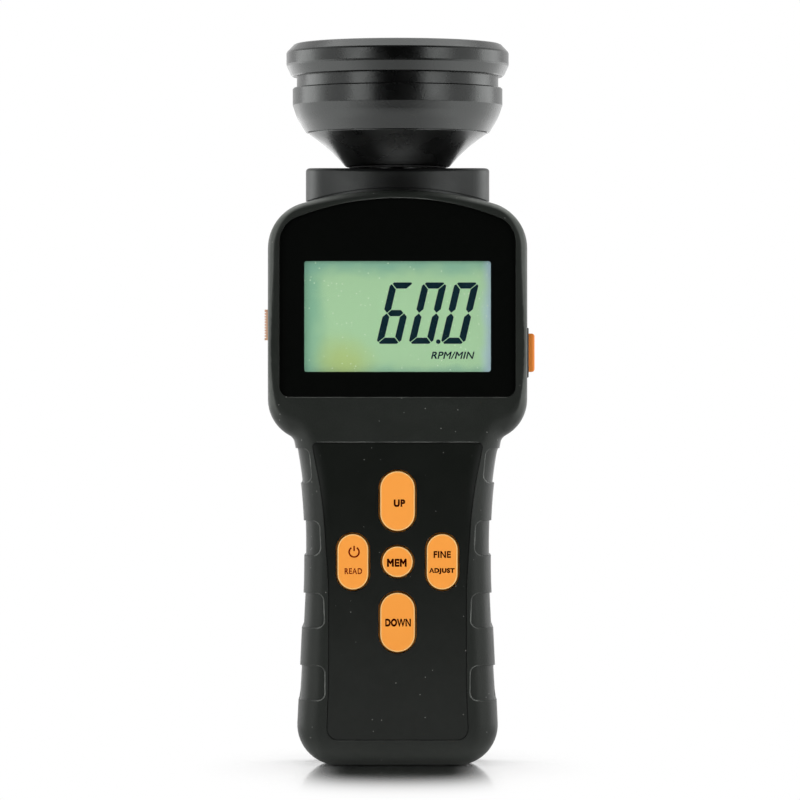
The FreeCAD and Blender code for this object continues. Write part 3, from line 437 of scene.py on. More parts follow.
@dataclass(frozen=True)
class Moulded(Finish):
    """Moulded plastic or rubber with a fine grain, edges tinted for rubbing and as painted light,
    a painted sheen on a case, and a little dust.

    Attributes:
        pitch: the grain's size, in metres.
        depth: the grain's depth, in metres.
        mottle: the colour it drifts towards.
        blotch: how strongly it does so, from 0 to 1.
        drift: how far its roughness wanders each way.
        rubbing_and_painted_light_colour: the colour of its edges, which stands for rubbing and for painted
            light on them.
        rubbing_and_painted_light_share: how strongly they show, from 0 to 1.
        reach: how far from an edge that colour goes, in metres.
        dust: how large its dust specks are; 0 for none.
        speck: the colour of the dust.
        cover: how strongly the dust hides what is under it, from 0 to 1.
        soften: the radius, in metres, that its edges look rounded to.
        sheen: how strongly its face mirrors; 0.5 is usual for plastic.
        painted_sheen_colour: the colour of its painted sheen.
        film: how strongly the painted sheen shows as a highlight on a case's rim and on its rounded
            sides, and as a reflection of the floor towards its foot.
        foot: how far up it comes from the foot, in metres.
        fade: the height over which it fades there, in metres.
    """

    pitch: float = 0.35 * MM
    depth: float = 0.012 * MM
    mottle: Colour = srgb(50, 52, 51)
    blotch: float = 0.35
    drift: float = 0.02
    rubbing_and_painted_light_colour: Colour = srgb(88, 90, 88)
    rubbing_and_painted_light_share: float = 0.35
    reach: float = 0.30 * MM
    dust: float = 0.06
    speck: Colour = srgb(186, 186, 182)
    cover: float = 0.45
    soften: float = 0.15 * MM
    sheen: float = 0.5
    painted_sheen_colour: Colour = srgb(135, 139, 134)
    film: tuple[float, float, float] = (0.0, 0.0, 0.0)
    foot: float = 9 * MM
    fade: float = 7 * MM

    def colouring(self, surface: Surface, mottle: Socket) -> Socket:
        """Lay the drift, the edges' rubbing and painted light, the painted sheen and the dust over
        the colour.

        Args:
            surface: the material that is being made.
            mottle: the slow drift, from 0 to 1.

        Returns:
            The colour, which changes over the surface.
        """
        rubbing_and_painted_light = surface.use(edge_rubbing_and_painted_light(), Radius=self.reach)["Mask"]
        specks = surface.use(dust_specks(), Speck=self.dust)["Mask"]
        # painted sheen: highlights on a case's rim and sides, and a floor reflection at its foot
        film = surface.use(case_painted_sheen(), Foot=self.foot, Fade=self.fade)
        colour = surface.tint(mottle, self.blotch, self.colour, self.mottle)
        # edges tinted for rubbing and as painted light
        colour = surface.tint(rubbing_and_painted_light, self.rubbing_and_painted_light_share, colour, self.rubbing_and_painted_light_colour)
        for mask, share in zip(film, self.film):
            colour = surface.tint(mask, share, colour, self.painted_sheen_colour)
        return surface.tint(specks, self.cover, colour, self.speck)

    def make(self) -> bpy.types.Material:
        """Make the material.

        Returns:
            The finished material.
        """
        surface = self.start()
        surface.shader.inputs["Specular IOR Level"].default_value = self.sheen
        grain = surface.use(moulded_grain(), Pitch=self.pitch, Depth=self.depth)
        surface.feed("Base Color", self.colouring(surface, grain["Mottle"]))
        surface.vary(grain["Mottle"], self.drift)
        surface.bump(grain["Height"], self.soften)
        return surface.material


@dataclass(frozen=True)
class KeyCap(Moulded):
    """Silicone caps that face the front, with a painted highlight round their shoulder and painted
    shade on their sides.

    Attributes:
        painted_highlight: the colour of the painted highlight round the shoulder.
        painted_highlight_share: how strongly it shows, from 0 to 1.
        side: the colour of the painted shade on the sides.
    """

    painted_highlight: Colour = srgb(255, 208, 136)
    painted_highlight_share: float = 0.9
    side: Colour = srgb(70, 2, 0)

    def colouring(self, surface: Surface, mottle: Socket) -> Socket:
        """Lay the painted highlight and the painted side shade over the moulded colour.

        Args:
            surface: the material that is being made.
            mottle: the slow drift, from 0 to 1.

        Returns:
            The colour, which changes over the surface.
        """
        slope = surface.use(front_slope())
        colour = super().colouring(surface, mottle)
        # painted highlight on the shoulder, then painted shade on the steep sides
        colour = surface.tint(slope["Shoulder"], self.painted_highlight_share, colour, self.painted_highlight)
        return surface.tint(slope["Side"], 1.0, colour, self.side)


@dataclass(frozen=True)
class Turned(Finish):
    """Metal turned on a lathe, with fine lines, edges tinted for rubbing and as painted glints, and
    a grain of its coating.

    Attributes:
        rubbing_and_painted_light_colour: the colour of its edges, which stands for rubbing and for painted
            glints.
        rubbing_and_painted_light_share: how strongly they show, from 0 to 1.
        reach: how far from an edge that colour goes, in metres.
        lines: the depth of the lathe's lines, in metres.
        pitch: the size of the coating's grain, in metres.
        depth: the depth of that grain, in metres.
        drift: how far its roughness wanders each way.
        soften: the radius, in metres, that its edges look rounded to.
    """

    rubbing_and_painted_light_colour: Colour = srgb(120, 120, 120)
    rubbing_and_painted_light_share: float = 0.3
    reach: float = 0.3 * MM
    lines: float = 0.0015 * MM
    pitch: float = 0.3 * MM
    depth: float = 0.004 * MM
    drift: float = 0.03
    soften: float = 0.12 * MM

    def make(self) -> bpy.types.Material:
        """Make the material.

        Returns:
            The finished material.
        """
        surface = self.start(metallic=1.0)
        grain = surface.use(moulded_grain(), Pitch=self.pitch, Depth=self.depth)
        lines = surface.use(turning_lines(), Depth=self.lines)["Height"]
        rubbing_and_painted_light = surface.use(edge_rubbing_and_painted_light(), Radius=self.reach)["Mask"]
        # edges tinted for rubbing and as painted glints
        surface.feed("Base Color", surface.tint(rubbing_and_painted_light, self.rubbing_and_painted_light_share, self.colour, self.rubbing_and_painted_light_colour))
        surface.vary(grain["Mottle"], self.drift)
        surface.bump(surface.graph.math("ADD", grain["Height"], lines), self.soften)
        return surface.material


@dataclass(frozen=True)
class Clear(Finish):
    """Glass or acrylic that lets the lamps through to what lies behind it.

    Attributes:
        ior: its index of refraction.
        smear: how much wiping marks dull it.
        wipe: how large those marks are, in metres.
        shade: the colour of the light that it lets through.
    """

    ior: float = 1.49
    smear: float = 0.02
    wipe: float = 14 * MM
    shade: Colour = (0.96, 0.97, 0.96, 1.0)

    def make(self) -> bpy.types.Material:
        """Make the material.

        Returns:
            The finished material.
        """
        surface = self.start()
        graph, shader = surface.graph, surface.shader
        shader.inputs["Transmission Weight"].default_value = 1.0
        shader.inputs["IOR"].default_value = self.ior
        wiped = graph.noise(graph.place(), self.wipe)
        dull = (self.roughness, self.roughness + self.smear)
        surface.feed("Roughness", graph.span(wiped, (0.45, 0.70), dull))
        through = graph.add("ShaderNodeBsdfTransparent", {"Color": self.shade})
        surface.put_out(graph.layer(graph.rays()["Is Shadow Ray"], shader, through))
        return surface.material


@dataclass(frozen=True)
class DisplayCell(Finish):
    """A faintly lit liquid crystal cell, with painted shade along its left and top edges, darker
    towards its bottom edge, and a bluer right edge that painted light makes lighter.

    Attributes:
        left, right: where its window ends, in metres.
        low, high: the same, upwards.
        bloom: the middle of its yellower patch, to the right and upwards, in metres.
        wave: how long the waves of its zones' edges are, in metres.
        sway: how far those edges wander, in metres.
        steady: how much of that the right edge wanders.
        glow: how strongly it is lit from behind.
    """

    left: float = -26.66 * MM
    right: float = 26.66 * MM
    low: float = 112.85 * MM
    high: float = 144.50 * MM
    bloom: Pair = (-15 * MM, 115 * MM)
    wave: float = 16 * MM
    sway: float = 14 * MM
    steady: float = 0.4
    glow: float = 0.235

    def make(self) -> bpy.types.Material:
        """Make the material.

        Returns:
            The finished material.
        """
        surface = self.start()
        graph = surface.graph
        place = graph.place()
        wander = graph.noise(place, self.wave, detail=3.0)
        shift = graph.math("MULTIPLY", graph.math("SUBTRACT", wander, 0.5), self.sway)
        spot = graph.parts(place)
        across, up = (graph.math("ADD", spot[axis], shift) for axis in "XZ")
        steadier = graph.math("ADD", spot["X"], graph.math("MULTIPLY", shift, self.steady))
        aside = graph.math("SUBTRACT", spot["X"], self.bloom[0])
        above = graph.math("SUBTRACT", spot["Z"], self.bloom[1])
        away = graph.math("ADD", graph.reach(aside, above), shift)
        colour = self.colour
        # Painted shade of the window's frame along the left and top; darker towards the bottom; a yellower
        # patch; a bluer right edge, lighter as painted light.
        for value, zone, end, share, tone in (
            (across, (self.left, self.left + 7 * MM), FALL, 0.85, srgb(130, 184, 156)),
            (up, (self.high - 6 * MM, self.high), RISE, 0.8, srgb(129, 183, 162)),
            (up, (self.low, self.low + 3 * MM), FALL, 0.5, srgb(130, 182, 162)),
            (away, (1 * MM, 11 * MM), FALL, 0.75, srgb(181, 201, 118)),
            (steadier, (self.right - 3.5 * MM, self.right), RISE, 0.7, srgb(190, 214, 240)),
        ):
            colour = surface.tint(graph.span(value, zone, end), share, colour, tone)
        specks = surface.use(dust_specks(), Spacing=1.3 * MM, Speck=0.15)["Mask"]
        colour = surface.tint(specks, 0.7, colour, srgb(220, 236, 212))
        surface.feed("Base Color", colour)
        # The glow stands for a backlight and also makes up for light that the lens and its frame keep off:
        # partly painted light.
        surface.feed("Emission Color", colour)
        surface.shader.inputs["Emission Strength"].default_value = self.glow
        surface.vary(wander, 0.05)
        return surface.material


@dataclass(frozen=True)
class Board(Finish):
    """Solder mask over copper tracks, with tinned pads.

    Attributes:
        track: the colour of the tracks.
        pad: the colour of the pads.
        track_pitch, pad_pitch: how far they are apart, in metres.
        pad_size: a pad's radius, in pad pitches.
        raised: how far the tracks stand up, in metres.
        soften: the radius, in metres, that edges look rounded to.
    """

    track: Colour = srgb(52, 132, 74)
    pad: Colour = srgb(196, 192, 176)
    track_pitch: float = 2.4 * MM
    pad_pitch: float = 3.1 * MM
    pad_size: float = 0.13
    raised: float = 0.02 * MM
    soften: float = 0.1 * MM

    def make(self) -> bpy.types.Material:
        """Make the material.

        Returns:
            The finished material.
        """
        surface = self.start()
        graph = surface.graph
        place = graph.place()
        runs = graph.cells(place, self.track_pitch, distance="MANHATTAN")["Distance"]
        dots = graph.cells(place, self.pad_pitch)["Distance"]
        track, pad = graph.span(runs, (0.42, 0.47)), graph.math("LESS_THAN", dots, self.pad_size)
        colour = graph.mix(track, self.colour, self.track)
        surface.feed("Base Color", graph.mix(pad, colour, self.pad))
        surface.bump(graph.math("MULTIPLY", track, self.raised), self.soften)
        surface.vary(track, 0.05)
        return surface.material


@dataclass(frozen=True)
class Banded(Finish):
    """A sleeve with bare metal ends and two dark rings, for cells that stand upright.

    Attributes:
        low, high: where the sleeve ends, in metres.
        apart: how far the rings are apart, in metres.
        ring: the colour of the rings.
        metal: the colour of the bare ends.
    """

    low: float = 13.0 * MM
    high: float = 64.4 * MM
    apart: float = 25 * MM
    ring: Colour = srgb(40, 44, 52)
    metal: Colour = srgb(200, 200, 204)

    def make(self) -> bpy.types.Material:
        """Make the material.

        Returns:
            The finished material.
        """
        surface = self.start()
        graph = surface.graph
        place = graph.place()
        height = graph.parts(place)["Z"]
        wave = graph.math("SINE", graph.math("MULTIPLY", height, math.tau / self.apart))
        colour = graph.mix(graph.span(wave, (0.90, 0.93)), self.colour, self.ring)
        above = graph.math("GREATER_THAN", height, self.high)
        bare = graph.math("MAXIMUM", above, graph.math("LESS_THAN", height, self.low))
        surface.feed("Base Color", graph.mix(bare, colour, self.metal))
        surface.feed("Metallic", bare)
        surface.vary(graph.noise(place, 3 * MM), 0.05)
        return surface.material


@dataclass(frozen=True)
class Wound(Finish):
    """Enamelled wire wound in close turns, with painted shade between them.

    Attributes:
        wire: the wire's diameter, in metres.
        gap: the colour of the painted shade between two turns.
    """

    wire: float = 0.35 * MM
    gap: Colour = srgb(60, 26, 12)

    def make(self) -> bpy.types.Material:
        """Make the material.

        Returns:
            The finished material.
        """
        surface = self.start(metallic=1.0)
        graph = surface.graph
        place = graph.place()
        height = graph.parts(place)["Z"]
        wave = graph.math("SINE", graph.math("MULTIPLY", height, math.tau / self.wire))
        # painted shade in the grooves between turns
        between = graph.span(wave, (-1.0, -0.4), FALL)
        surface.feed("Base Color", surface.tint(between, 0.8, self.colour, self.gap))
        surface.bump(graph.math("MULTIPLY", wave, 0.1 * self.wire), 0.05 * MM)
        surface.vary(graph.noise(place, 2 * MM), 0.06)
        return surface.material


class Look(Enum):
    """The finishes of this object's pieces."""

    # Light edges: painted highlight as well as rubbing; film: painted highlights on rim and sides, floor
    # reflection at the foot.
    CASE = Moulded(
        "charcoal_plastic", srgb(32, 35, 32), 0.38, pitch=0.5 * MM, depth=0.05 * MM,
        mottle=srgb(36, 39, 36), rubbing_and_painted_light_colour=srgb(165, 169, 164), rubbing_and_painted_light_share=0.9, reach=0.46 * MM,
        soften=0.30 * MM, sheen=0.2, film=(0.6, 0.34, 0.10),
    )
    # Near-black edges: painted shade in the seams round the plate and its key holes; film: painted
    # reflection, lighter low down.
    PANEL = Moulded(
        "keypad_plastic", srgb(16, 19, 16), 0.32, depth=0.010 * MM, mottle=srgb(18, 21, 18),
        drift=0.01, rubbing_and_painted_light_colour=srgb(1, 1, 1), rubbing_and_painted_light_share=1.0, reach=0.50 * MM, soften=0.04 * MM, sheen=0.22,
        film=(0.0, 0.0, 0.035), foot=80 * MM, fade=65 * MM,
    )
    RUBBER = Moulded("soft_rubber", srgb(22, 22, 22), 0.72, mottle=srgb(30, 30, 30))
    # Light edges on the keys and the button: painted highlights as well as rubbing.
    KEY = KeyCap(
        "orange_silicone", srgb(255, 164, 70), 0.46, depth=0.004 * MM, mottle=srgb(255, 167, 74),
        rubbing_and_painted_light_colour=srgb(255, 200, 130), rubbing_and_painted_light_share=0.3, dust=0.03, soften=0.3 * MM, sheen=0.1,
    )
    BUTTON = Moulded(
        "orange_plastic", srgb(242, 140, 50), 0.5, depth=0.004 * MM, mottle=srgb(242, 143, 54),
        rubbing_and_painted_light_colour=srgb(255, 190, 120), rubbing_and_painted_light_share=0.3, dust=0.03, soften=0.2 * MM, sheen=0.35,
    )
    # The button's orange plastic, made paler as a painted reflection of the white light at its side.
    KNOB = Moulded(
        "orange_plastic_painted_reflection", srgb(250, 196, 160), 0.5, depth=0.004 * MM, mottle=srgb(250, 200, 166),
        rubbing_and_painted_light_colour=srgb(250, 214, 180), rubbing_and_painted_light_share=0.3, dust=0.03, soften=0.2 * MM,
    )
    BOND = Moulded(
        "black_film", srgb(7, 9, 7), 0.30, depth=0.0, mottle=srgb(7, 9, 7), drift=0.0, rubbing_and_painted_light_share=0.0, dust=0.02,
    )
    LENS = Clear("window_acrylic", PURE_WHITE, 0.008, smear=0.004)
    GLASS = Clear("lamp_glass", PURE_WHITE, 0.0, ior=1.52, smear=0.01)
    LCD = DisplayCell("display_cell", srgb(173, 212, 168), 0.35)
    INK_DARK = Moulded(
        "dark_ink", srgb(44, 0, 0), 0.60, mottle=srgb(38, 0, 0), rubbing_and_painted_light_share=0.0, dust=0.0,
        soften=0.02 * MM, sheen=0.0,
    )
    INK_THIN = Moulded(
        "thin_ink", srgb(112, 0, 0), 0.60, mottle=srgb(104, 0, 0), rubbing_and_painted_light_share=0.0, dust=0.0,
        soften=0.02 * MM, sheen=0.0,
    )
    SEGMENT = Moulded(
        "display_segment", srgb(0, 36, 48), 0.45, mottle=srgb(4, 42, 54), rubbing_and_painted_light_share=0.0, dust=0.0,
        soften=0.02 * MM, sheen=0.2,
    )
    # Lighter edges: painted glints as well as rubbing, on the head and on the collar.
    HEAD = Turned(
        "black_anodising", (0.058, 0.060, 0.059, 1.0), 0.28, rubbing_and_painted_light_colour=srgb(150, 151, 150), rubbing_and_painted_light_share=0.45,
        pitch=0.55 * MM, depth=0.030 * MM,
    )
    COLLAR = Turned(
        "satin_coating", (0.051, 0.053, 0.052, 1.0), 0.40, pitch=0.55 * MM, depth=0.030 * MM,
    )
    MIRROR = Turned("mirror_plating", (0.90, 0.91, 0.92, 1.0), 0.10, lines=0.0003 * MM, depth=0.0)
    STEEL = Turned("plated_steel", (0.56, 0.56, 0.57, 1.0), 0.32)
    BLACK_STEEL = Turned("blackened_steel", (0.045, 0.045, 0.048, 1.0), 0.40)
    BRASS = Turned("plated_spring", (0.72, 0.62, 0.42, 1.0), 0.30)
    CERAMIC = Moulded("glazed_ceramic", srgb(228, 224, 214), 0.35, mottle=srgb(214, 208, 196))
    WHITE = Moulded("white_nylon", srgb(226, 226, 220), 0.45, mottle=srgb(214, 214, 206))
    FERRITE = Moulded("pressed_ferrite", srgb(46, 46, 50), 0.62, mottle=srgb(62, 62, 66))
    CHIP = Moulded("black_resin", srgb(24, 24, 26), 0.55, mottle=srgb(34, 34, 36))
    LEAD = Moulded("red_insulation", srgb(170, 24, 20), 0.42, mottle=srgb(186, 36, 28))
    BOARD = Board("solder_mask", srgb(26, 88, 46), 0.35)
    CELL = Banded("grey_sleeve", srgb(176, 180, 184), 0.30)
    COPPER = Wound("enamelled_wire", (0.72, 0.33, 0.16, 1.0), 0.34)

    @property
    def material(self) -> bpy.types.Material:
        """The look's material."""
        return material_of(self)

    def put_on(self, *names: str) -> None:
        """Give this look to CAD nodes, by name."""
        for name in names:
            dress(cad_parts[name], self)


@cache
def material_of(look: Look) -> bpy.types.Material:
    """Make a look's material, once."""
    return look.value.make()


def dress(piece: Piece, look: Look) -> None:
    """Give a piece one look all over."""
    piece.data.materials.clear()
    piece.data.materials.append(look.material)


# ---------------------------------------------------------------- modelling by hand


class Kind(Enum):
    """What edit mode selects."""

    VERT = "VERT"
    EDGE = "EDGE"
    FACE = "FACE"


def take(*pieces: Piece) -> None:
    """Select some pieces alone.

    Args:
        *pieces: the pieces; the first becomes the active one.
    """
    bpy.ops.object.select_all(action="DESELECT")
    for piece in pieces:
        piece.select_set(True)
    bpy.context.view_layer.objects.active = pieces[0]


@contextmanager
def editing(piece: Piece) -> Iterator[None]:
    """Open one piece in edit mode, and close it afterwards.

    Args:
        piece: the piece.

    Yields:
        Nothing, while the piece is open.
    """
    take(piece)
    bpy.ops.object.mode_set(mode="EDIT")
    yield
    bpy.ops.object.mode_set(mode="OBJECT")


def pick(piece: Piece, kind: Kind, wanted: Callable[[Vector, Vector], bool]) -> None:
    """Select, in edit mode, what passes a test.

    Args:
        piece: the piece in edit mode.
        kind: what to select.
        wanted: a test of an element's middle and of its normal, or an edge's direction.
    """
    bpy.ops.mesh.select_mode(type=kind.value)
    bpy.ops.mesh.select_all(action="DESELECT")
    shape = bmesh.from_edit_mesh(piece.data)
    shape.normal_update()
    for element in {Kind.VERT: shape.verts, Kind.EDGE: shape.edges, Kind.FACE: shape.faces}[kind]:
        places = [element.co] if kind is Kind.VERT else [vert.co for vert in element.verts]
        if kind is Kind.EDGE:
            direction = (places[1] - places[0]).normalized()
        else:
            direction = element.normal
        if wanted(sum(places, Vector()) / len(places), direction):
            element.select_set(True)
    shape.select_flush_mode()
    bmesh.update_edit_mesh(piece.data)


def settle(piece: Piece, name: str) -> Piece:
    """Put a piece's place, turn and size into its mesh.

    Args:
        piece: the piece.
        name: what it is called from now on.

    Returns:
        The same piece.
    """
    take(piece)
    bpy.ops.object.transform_apply(location=True, rotation=True, scale=True)
    piece.name = piece.data.name = name
    return piece


def block(name: str, low: Vector, high: Vector) -> Piece:
    """Add a cube at its size and place, ready to be shaped.

    Args:
        name: the piece's name.
        low: its lowest corner on every axis, in metres.
        high: its highest corner.

    Returns:
        The new piece.
    """
    bpy.ops.object.select_all(action="DESELECT")
    bpy.ops.mesh.primitive_cube_add(size=1.0, location=(low + high) / 2)
    piece = bpy.context.object
    piece.scale = high - low
    return settle(piece, name)


def bevel_picked(offset: float, segments: int = 1) -> None:
    """Bevel the selected edges by a width in metres."""
    bpy.ops.mesh.bevel(offset=offset, segments=segments, affect="EDGES", clamp_overlap=False)


def again(piece: Piece, name: str, offset: Vector) -> Piece:
    """Copy a piece, with a mesh of its own.

    Args:
        piece: the piece to copy.
        name: the copy's name.
        offset: how far the copy stands from the piece, in metres.

    Returns:
        The copy.
    """
    take(piece)
    bpy.ops.object.duplicate(linked=False)
    copy = bpy.context.object
    bpy.ops.transform.translate(value=offset)
    return settle(copy, name)


def flip(piece: Piece, axis: int, about: Vector) -> None:
    """Mirror a piece, and keep its faces outward.

    Args:
        piece: the piece.
        axis: the axis that turns round, from 0 to 2.
        about: the point that stays where it is.
    """
    sizes = [1.0, 1.0, 1.0]
    sizes[axis] = -1.0
    with editing(piece):
        bpy.ops.mesh.select_all(action="SELECT")
        bpy.ops.transform.resize(value=sizes, center_override=about)
        bpy.ops.mesh.normals_make_consistent(inside=False)


def join(name: str, pieces: list[Piece]) -> Piece:
    """Join pieces into one.

    Args:
        name: the joined piece's name.
        pieces: the pieces.

    Returns:
        The joined piece.
    """
    take(*pieces)
    bpy.ops.object.join()
    return settle(pieces[0], name)


def lean(piece: Piece, slope: float, base: float) -> None:
    """Slant a piece to the right.

    Args:
        piece: the piece.
        slope: how far it goes right for each unit upwards.
        base: the height that stays where it is, in metres.
    """
    with editing(piece):
        shape = bmesh.from_edit_mesh(piece.data)
        levels = sorted({round(vert.co.z, 6) for vert in shape.verts})
        for level in levels:
            pick(piece, Kind.VERT, lambda middle, _: abs(middle.z - level) < SAME_PLACE)
            bpy.ops.transform.translate(value=((level - base) * slope, 0.0, 0.0))


def order_by_place(piece: Piece) -> None:
    """Number a piece's vertices and faces by their places, because spin's own order varies.

    Args:
        piece: the piece, in edit mode.
    """
    shape = bmesh.from_edit_mesh(piece.data)
    shape.verts.sort(key=lambda vert: vert.co.dot(SLANT))
    shape.faces.sort(key=lambda face: face.calc_center_median().dot(SLANT))
    bmesh.update_edit_mesh(piece.data)


@dataclass(frozen=True)
class Lettering:
    """Plain words, by the box that their letters fill, in millimetres.

    Attributes:
        name: the piece's name.
        words: what it says.
        across: the box's middle, to the right.
        up: the box's middle, upwards.
        width: how wide the words are.
        height: how tall the capitals are.
        slant: how far the letters lean.
        weight: how much bolder the strokes are made, in letter heights.
        spacing: how far apart the letters stand; 1 is the font's own way.
    """

    name: str
    words: str
    across: float
    up: float
    width: float
    height: float
    slant: float = 0.0
    weight: float = 0.090
    spacing: float = 1.16

    def build(self, front: float, back: float) -> Piece:
        """Make the words as a thin solid that faces forwards.

        Args:
            front: where the ink's outer face lies, in millimetres.
            back: where its inner face lies.

        Returns:
            The finished mesh.
        """
        bpy.ops.object.select_all(action="DESELECT")
        bpy.ops.object.text_add()
        piece = bpy.context.object
        text = piece.data
        thickness, curve_steps, merge = 0.05, 4, 1e-5
        text.body, text.extrude, text.shear = self.words, thickness, self.slant
        text.resolution_u, text.space_character = curve_steps, self.spacing
        take(piece)
        bpy.ops.object.convert(target="MESH")
        piece = bpy.context.object
        with editing(piece):
            bpy.ops.mesh.select_all(action="SELECT")
            bpy.ops.mesh.remove_doubles(threshold=merge)
            bpy.ops.mesh.normals_make_consistent(inside=False)
            bpy.ops.transform.shrink_fatten(value=self.weight)
        corners = [vert.co for vert in piece.data.vertices]
        low = Vector([min(corner[axis] for corner in corners) for axis in range(3)])
        high = Vector([max(corner[axis] for corner in corners) for axis in range(3)])
        size = Vector((self.width, self.height, back - front)) * MM
        ratio = [size[axis] / (high - low)[axis] for axis in range(3)]
        with editing(piece):
            bpy.ops.mesh.select_all(action="SELECT")
            bpy.ops.transform.translate(value=-(low + high) / 2)
            bpy.ops.transform.resize(value=ratio, center_override=ORIGIN)
        piece.rotation_euler = (math.pi / 2, 0.0, 0.0)
        piece.location = Vector((self.across, (front + back) / 2, self.up)) * MM
        return settle(piece, self.name)


# ---------------------------------------------------------------- sub-assemblies


@dataclass
class SubAssembly:
    """Pieces that belong together.

    Attributes:
        body: the CAD body that its new pieces move with.
        made: the new pieces, once they are built.
    """

    body: str = "case"
    made: list[Piece] = field(default_factory=list)

    def keep(self, piece: Piece, look: Look, slot: str, body: str | None = None) -> None:
        """Dress a new piece and fix it to a body.

        Args:
            piece: the finished piece.
            look: its finish.
            slot: the record's material slot for its finish; not used.
            body: the CAD body it rides on, if not this sub-assembly's.
        """
        dress(piece, look)
        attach(piece, body or self.body)
        self.made.append(piece)

    def build(self) -> None:
        """Model the new pieces."""

    def dress(self) -> None:
        """Give the CAD nodes their finishes."""


@dataclass
class CaseShell(SubAssembly):
    """The two covers and their screws."""

    def dress(self) -> None:
        """Give the CAD nodes their finishes."""
        Look.CASE.put_on("front_cover", "rear_cover")
        Look.BLACK_STEEL.put_on("case_screws")


@dataclass
class Display(SubAssembly):
    """The lens, its black film, the liquid crystal cell and what the cell shows.

    Every size is in millimetres.

    Attributes:
        face: the cell's front face.
        ink: how far the segments stand in front of it.
        tall, wide: one figure's height and its width before it leans.
        level, upright: the thickness of its level and upright segments.
        gap: half of the gap where two upright segments meet.
        short: how far the top segment stays off the figure's sides.
        drop: how far the upper segment stays below the figure's top.
        clear: how far the centre segment's tips stay off the upright ones.
        top_cuts: what is cut off the top segment's lower and upper corners.
        upper_cuts: what is cut off the upper segment's inner and outer top corner.
        point: how much of half a thickness is cut off where a segment ends in a point.
        pitch: from one figure to the next.
        left, base: the lower left corner of the first figure.
        slope: how far a figure leans.
        dot: the decimal point's middle, to the right and upwards.
        dot_radius: the decimal point's radius.
        dot_rim: how wide its rounded rim is, and how far its middle stands out.
        unit: the unit's lettering.
        masters: each segment of the first figure, to be copied.
    """

    face: float = -15.30
    ink: float = 0.04
    tall: float = 17.55
    wide: float = 6.95
    level: float = 1.75
    upright: float = 1.98
    gap: float = 0.12
    short: float = 0.75
    drop: float = 0.55
    clear: float = 0.25
    top_cuts: Pair = (1.30, 0.28)
    upper_cuts: Pair = (1.45, 0.40)
    point: float = 0.97
    pitch: float = 9.2
    left: float = -6.12
    base: float = 120.88
    slope: float = 0.235
    dot: Pair = (11.65, 121.50)
    dot_radius: float = 0.64
    dot_rim: Pair = (0.05, 0.01)
    unit: Lettering = Lettering(
        "display_unit", "RPM/MIN", 15.8, 117.6, 12.5, 2.1, slant=0.24, weight=0.04, spacing=1.05,
    )
    masters: dict[str, Piece] = field(default_factory=dict)

    def bar(self, name: str, x: Pair, z: Pair) -> Piece:
        """Add a segment's block.

        Args:
            name: the segment's name.
            x: where it starts and ends to the right, from the first figure's corner.
            z: the same, upwards.

        Returns:
            The block, ready to be shaped.
        """
        low = Vector((self.left + x[0], self.face - self.ink, self.base + z[0])) * MM
        high = Vector((self.left + x[1], self.face + self.ink, self.base + z[1])) * MM
        return block(name, low, high)

    def mitre(self, bar: Piece, corner: tuple[int, int], leg: float) -> None:
        """Cut one corner of a segment off.

        Args:
            bar: the segment.
            corner: -1 or 1 to the right and upwards.
            leg: how much of each side goes.
        """

        def outward(place: Vector) -> float:
            """Return how far a place lies towards the corner."""
            return place.x * corner[0] + place.z * corner[1]

        furthest = max(outward(vert.co) for vert in bar.data.vertices) - SAME_PLACE
        with editing(bar):
            pick(bar, Kind.EDGE, lambda place, way: abs(way.y) > ALONG and outward(place) > furthest)
            bevel_picked(leg * MM)

    def top_segment(self) -> Piece:
        """Model the level segment at the top.

        Returns:
            The finished segment.
        """
        bar = self.bar(
            "top_bar", (self.short, self.wide - self.short), (self.tall - self.level, self.tall),
        )
        for side in (-1, 1):
            for upward, leg in zip((-1, 1), self.top_cuts):
                self.mitre(bar, (side, upward), leg)
        return bar

    def upper_segment(self) -> Piece:
        """Model the upright segment at the upper left.

        Returns:
            The finished segment.
        """
        height = (self.tall / 2 + self.gap, self.tall - self.drop)
        bar = self.bar("upper_bar", (0.0, self.upright), height)
        for side, leg in zip((1, -1), self.upper_cuts):
            self.mitre(bar, (side, 1), leg)
        for side in (-1, 1):
            self.mitre(bar, (side, -1), self.upright / 2 * self.point)
        return bar

    def centre_segment(self) -> Piece:
        """Model the level segment in the middle, which ends in two points.

        Returns:
            The finished segment.
        """
        tip, middle, half = self.upright / 2 + self.clear, self.tall / 2, self.level / 2
        bar = self.bar("centre_bar", (tip, self.wide - tip), (middle - half, middle + half))
        for side in (-1, 1):
            for upward in (-1, 1):
                self.mitre(bar, (side, upward), half * self.point)
        return bar

    def figure(self, name: str, column: int, lit: str) -> Piece:
        """Model one seven-segment figure.

        Args:
            name: the piece's name.
            column: its place, counted from the left.
            lit: the segments that show, by their usual letters.

        Returns:
            The finished figure.
        """
        offset = Vector((column * self.pitch * MM, 0.0, 0.0))
        shown = [again(self.masters[letter], f"{name}_{letter}", offset) for letter in lit]
        piece = join(name, shown)
        lean(piece, self.slope, self.base * MM)
        return piece

    def decimal_point(self) -> Piece:
        """Model the decimal point, a small disc with a rounded rim.

        Returns:
            The finished disc.
        """
        (across, up), (rim, rise) = self.dot, self.dot_rim
        bpy.ops.object.select_all(action="DESELECT")
        bpy.ops.mesh.primitive_cylinder_add(
            vertices=32, radius=self.dot_radius * MM, depth=2 * self.ink * MM,
            location=(across * MM, self.face * MM, up * MM), rotation=(math.pi / 2, 0.0, 0.0),
        )
        piece = settle(bpy.context.object, "decimal_point")
        with editing(piece):
            pick(piece, Kind.FACE, lambda _, normal: normal.y < -ALONG)
            bpy.ops.mesh.inset(thickness=rim * MM)
            bpy.ops.transform.translate(value=(0.0, -rise * MM, 0.0))
        return piece

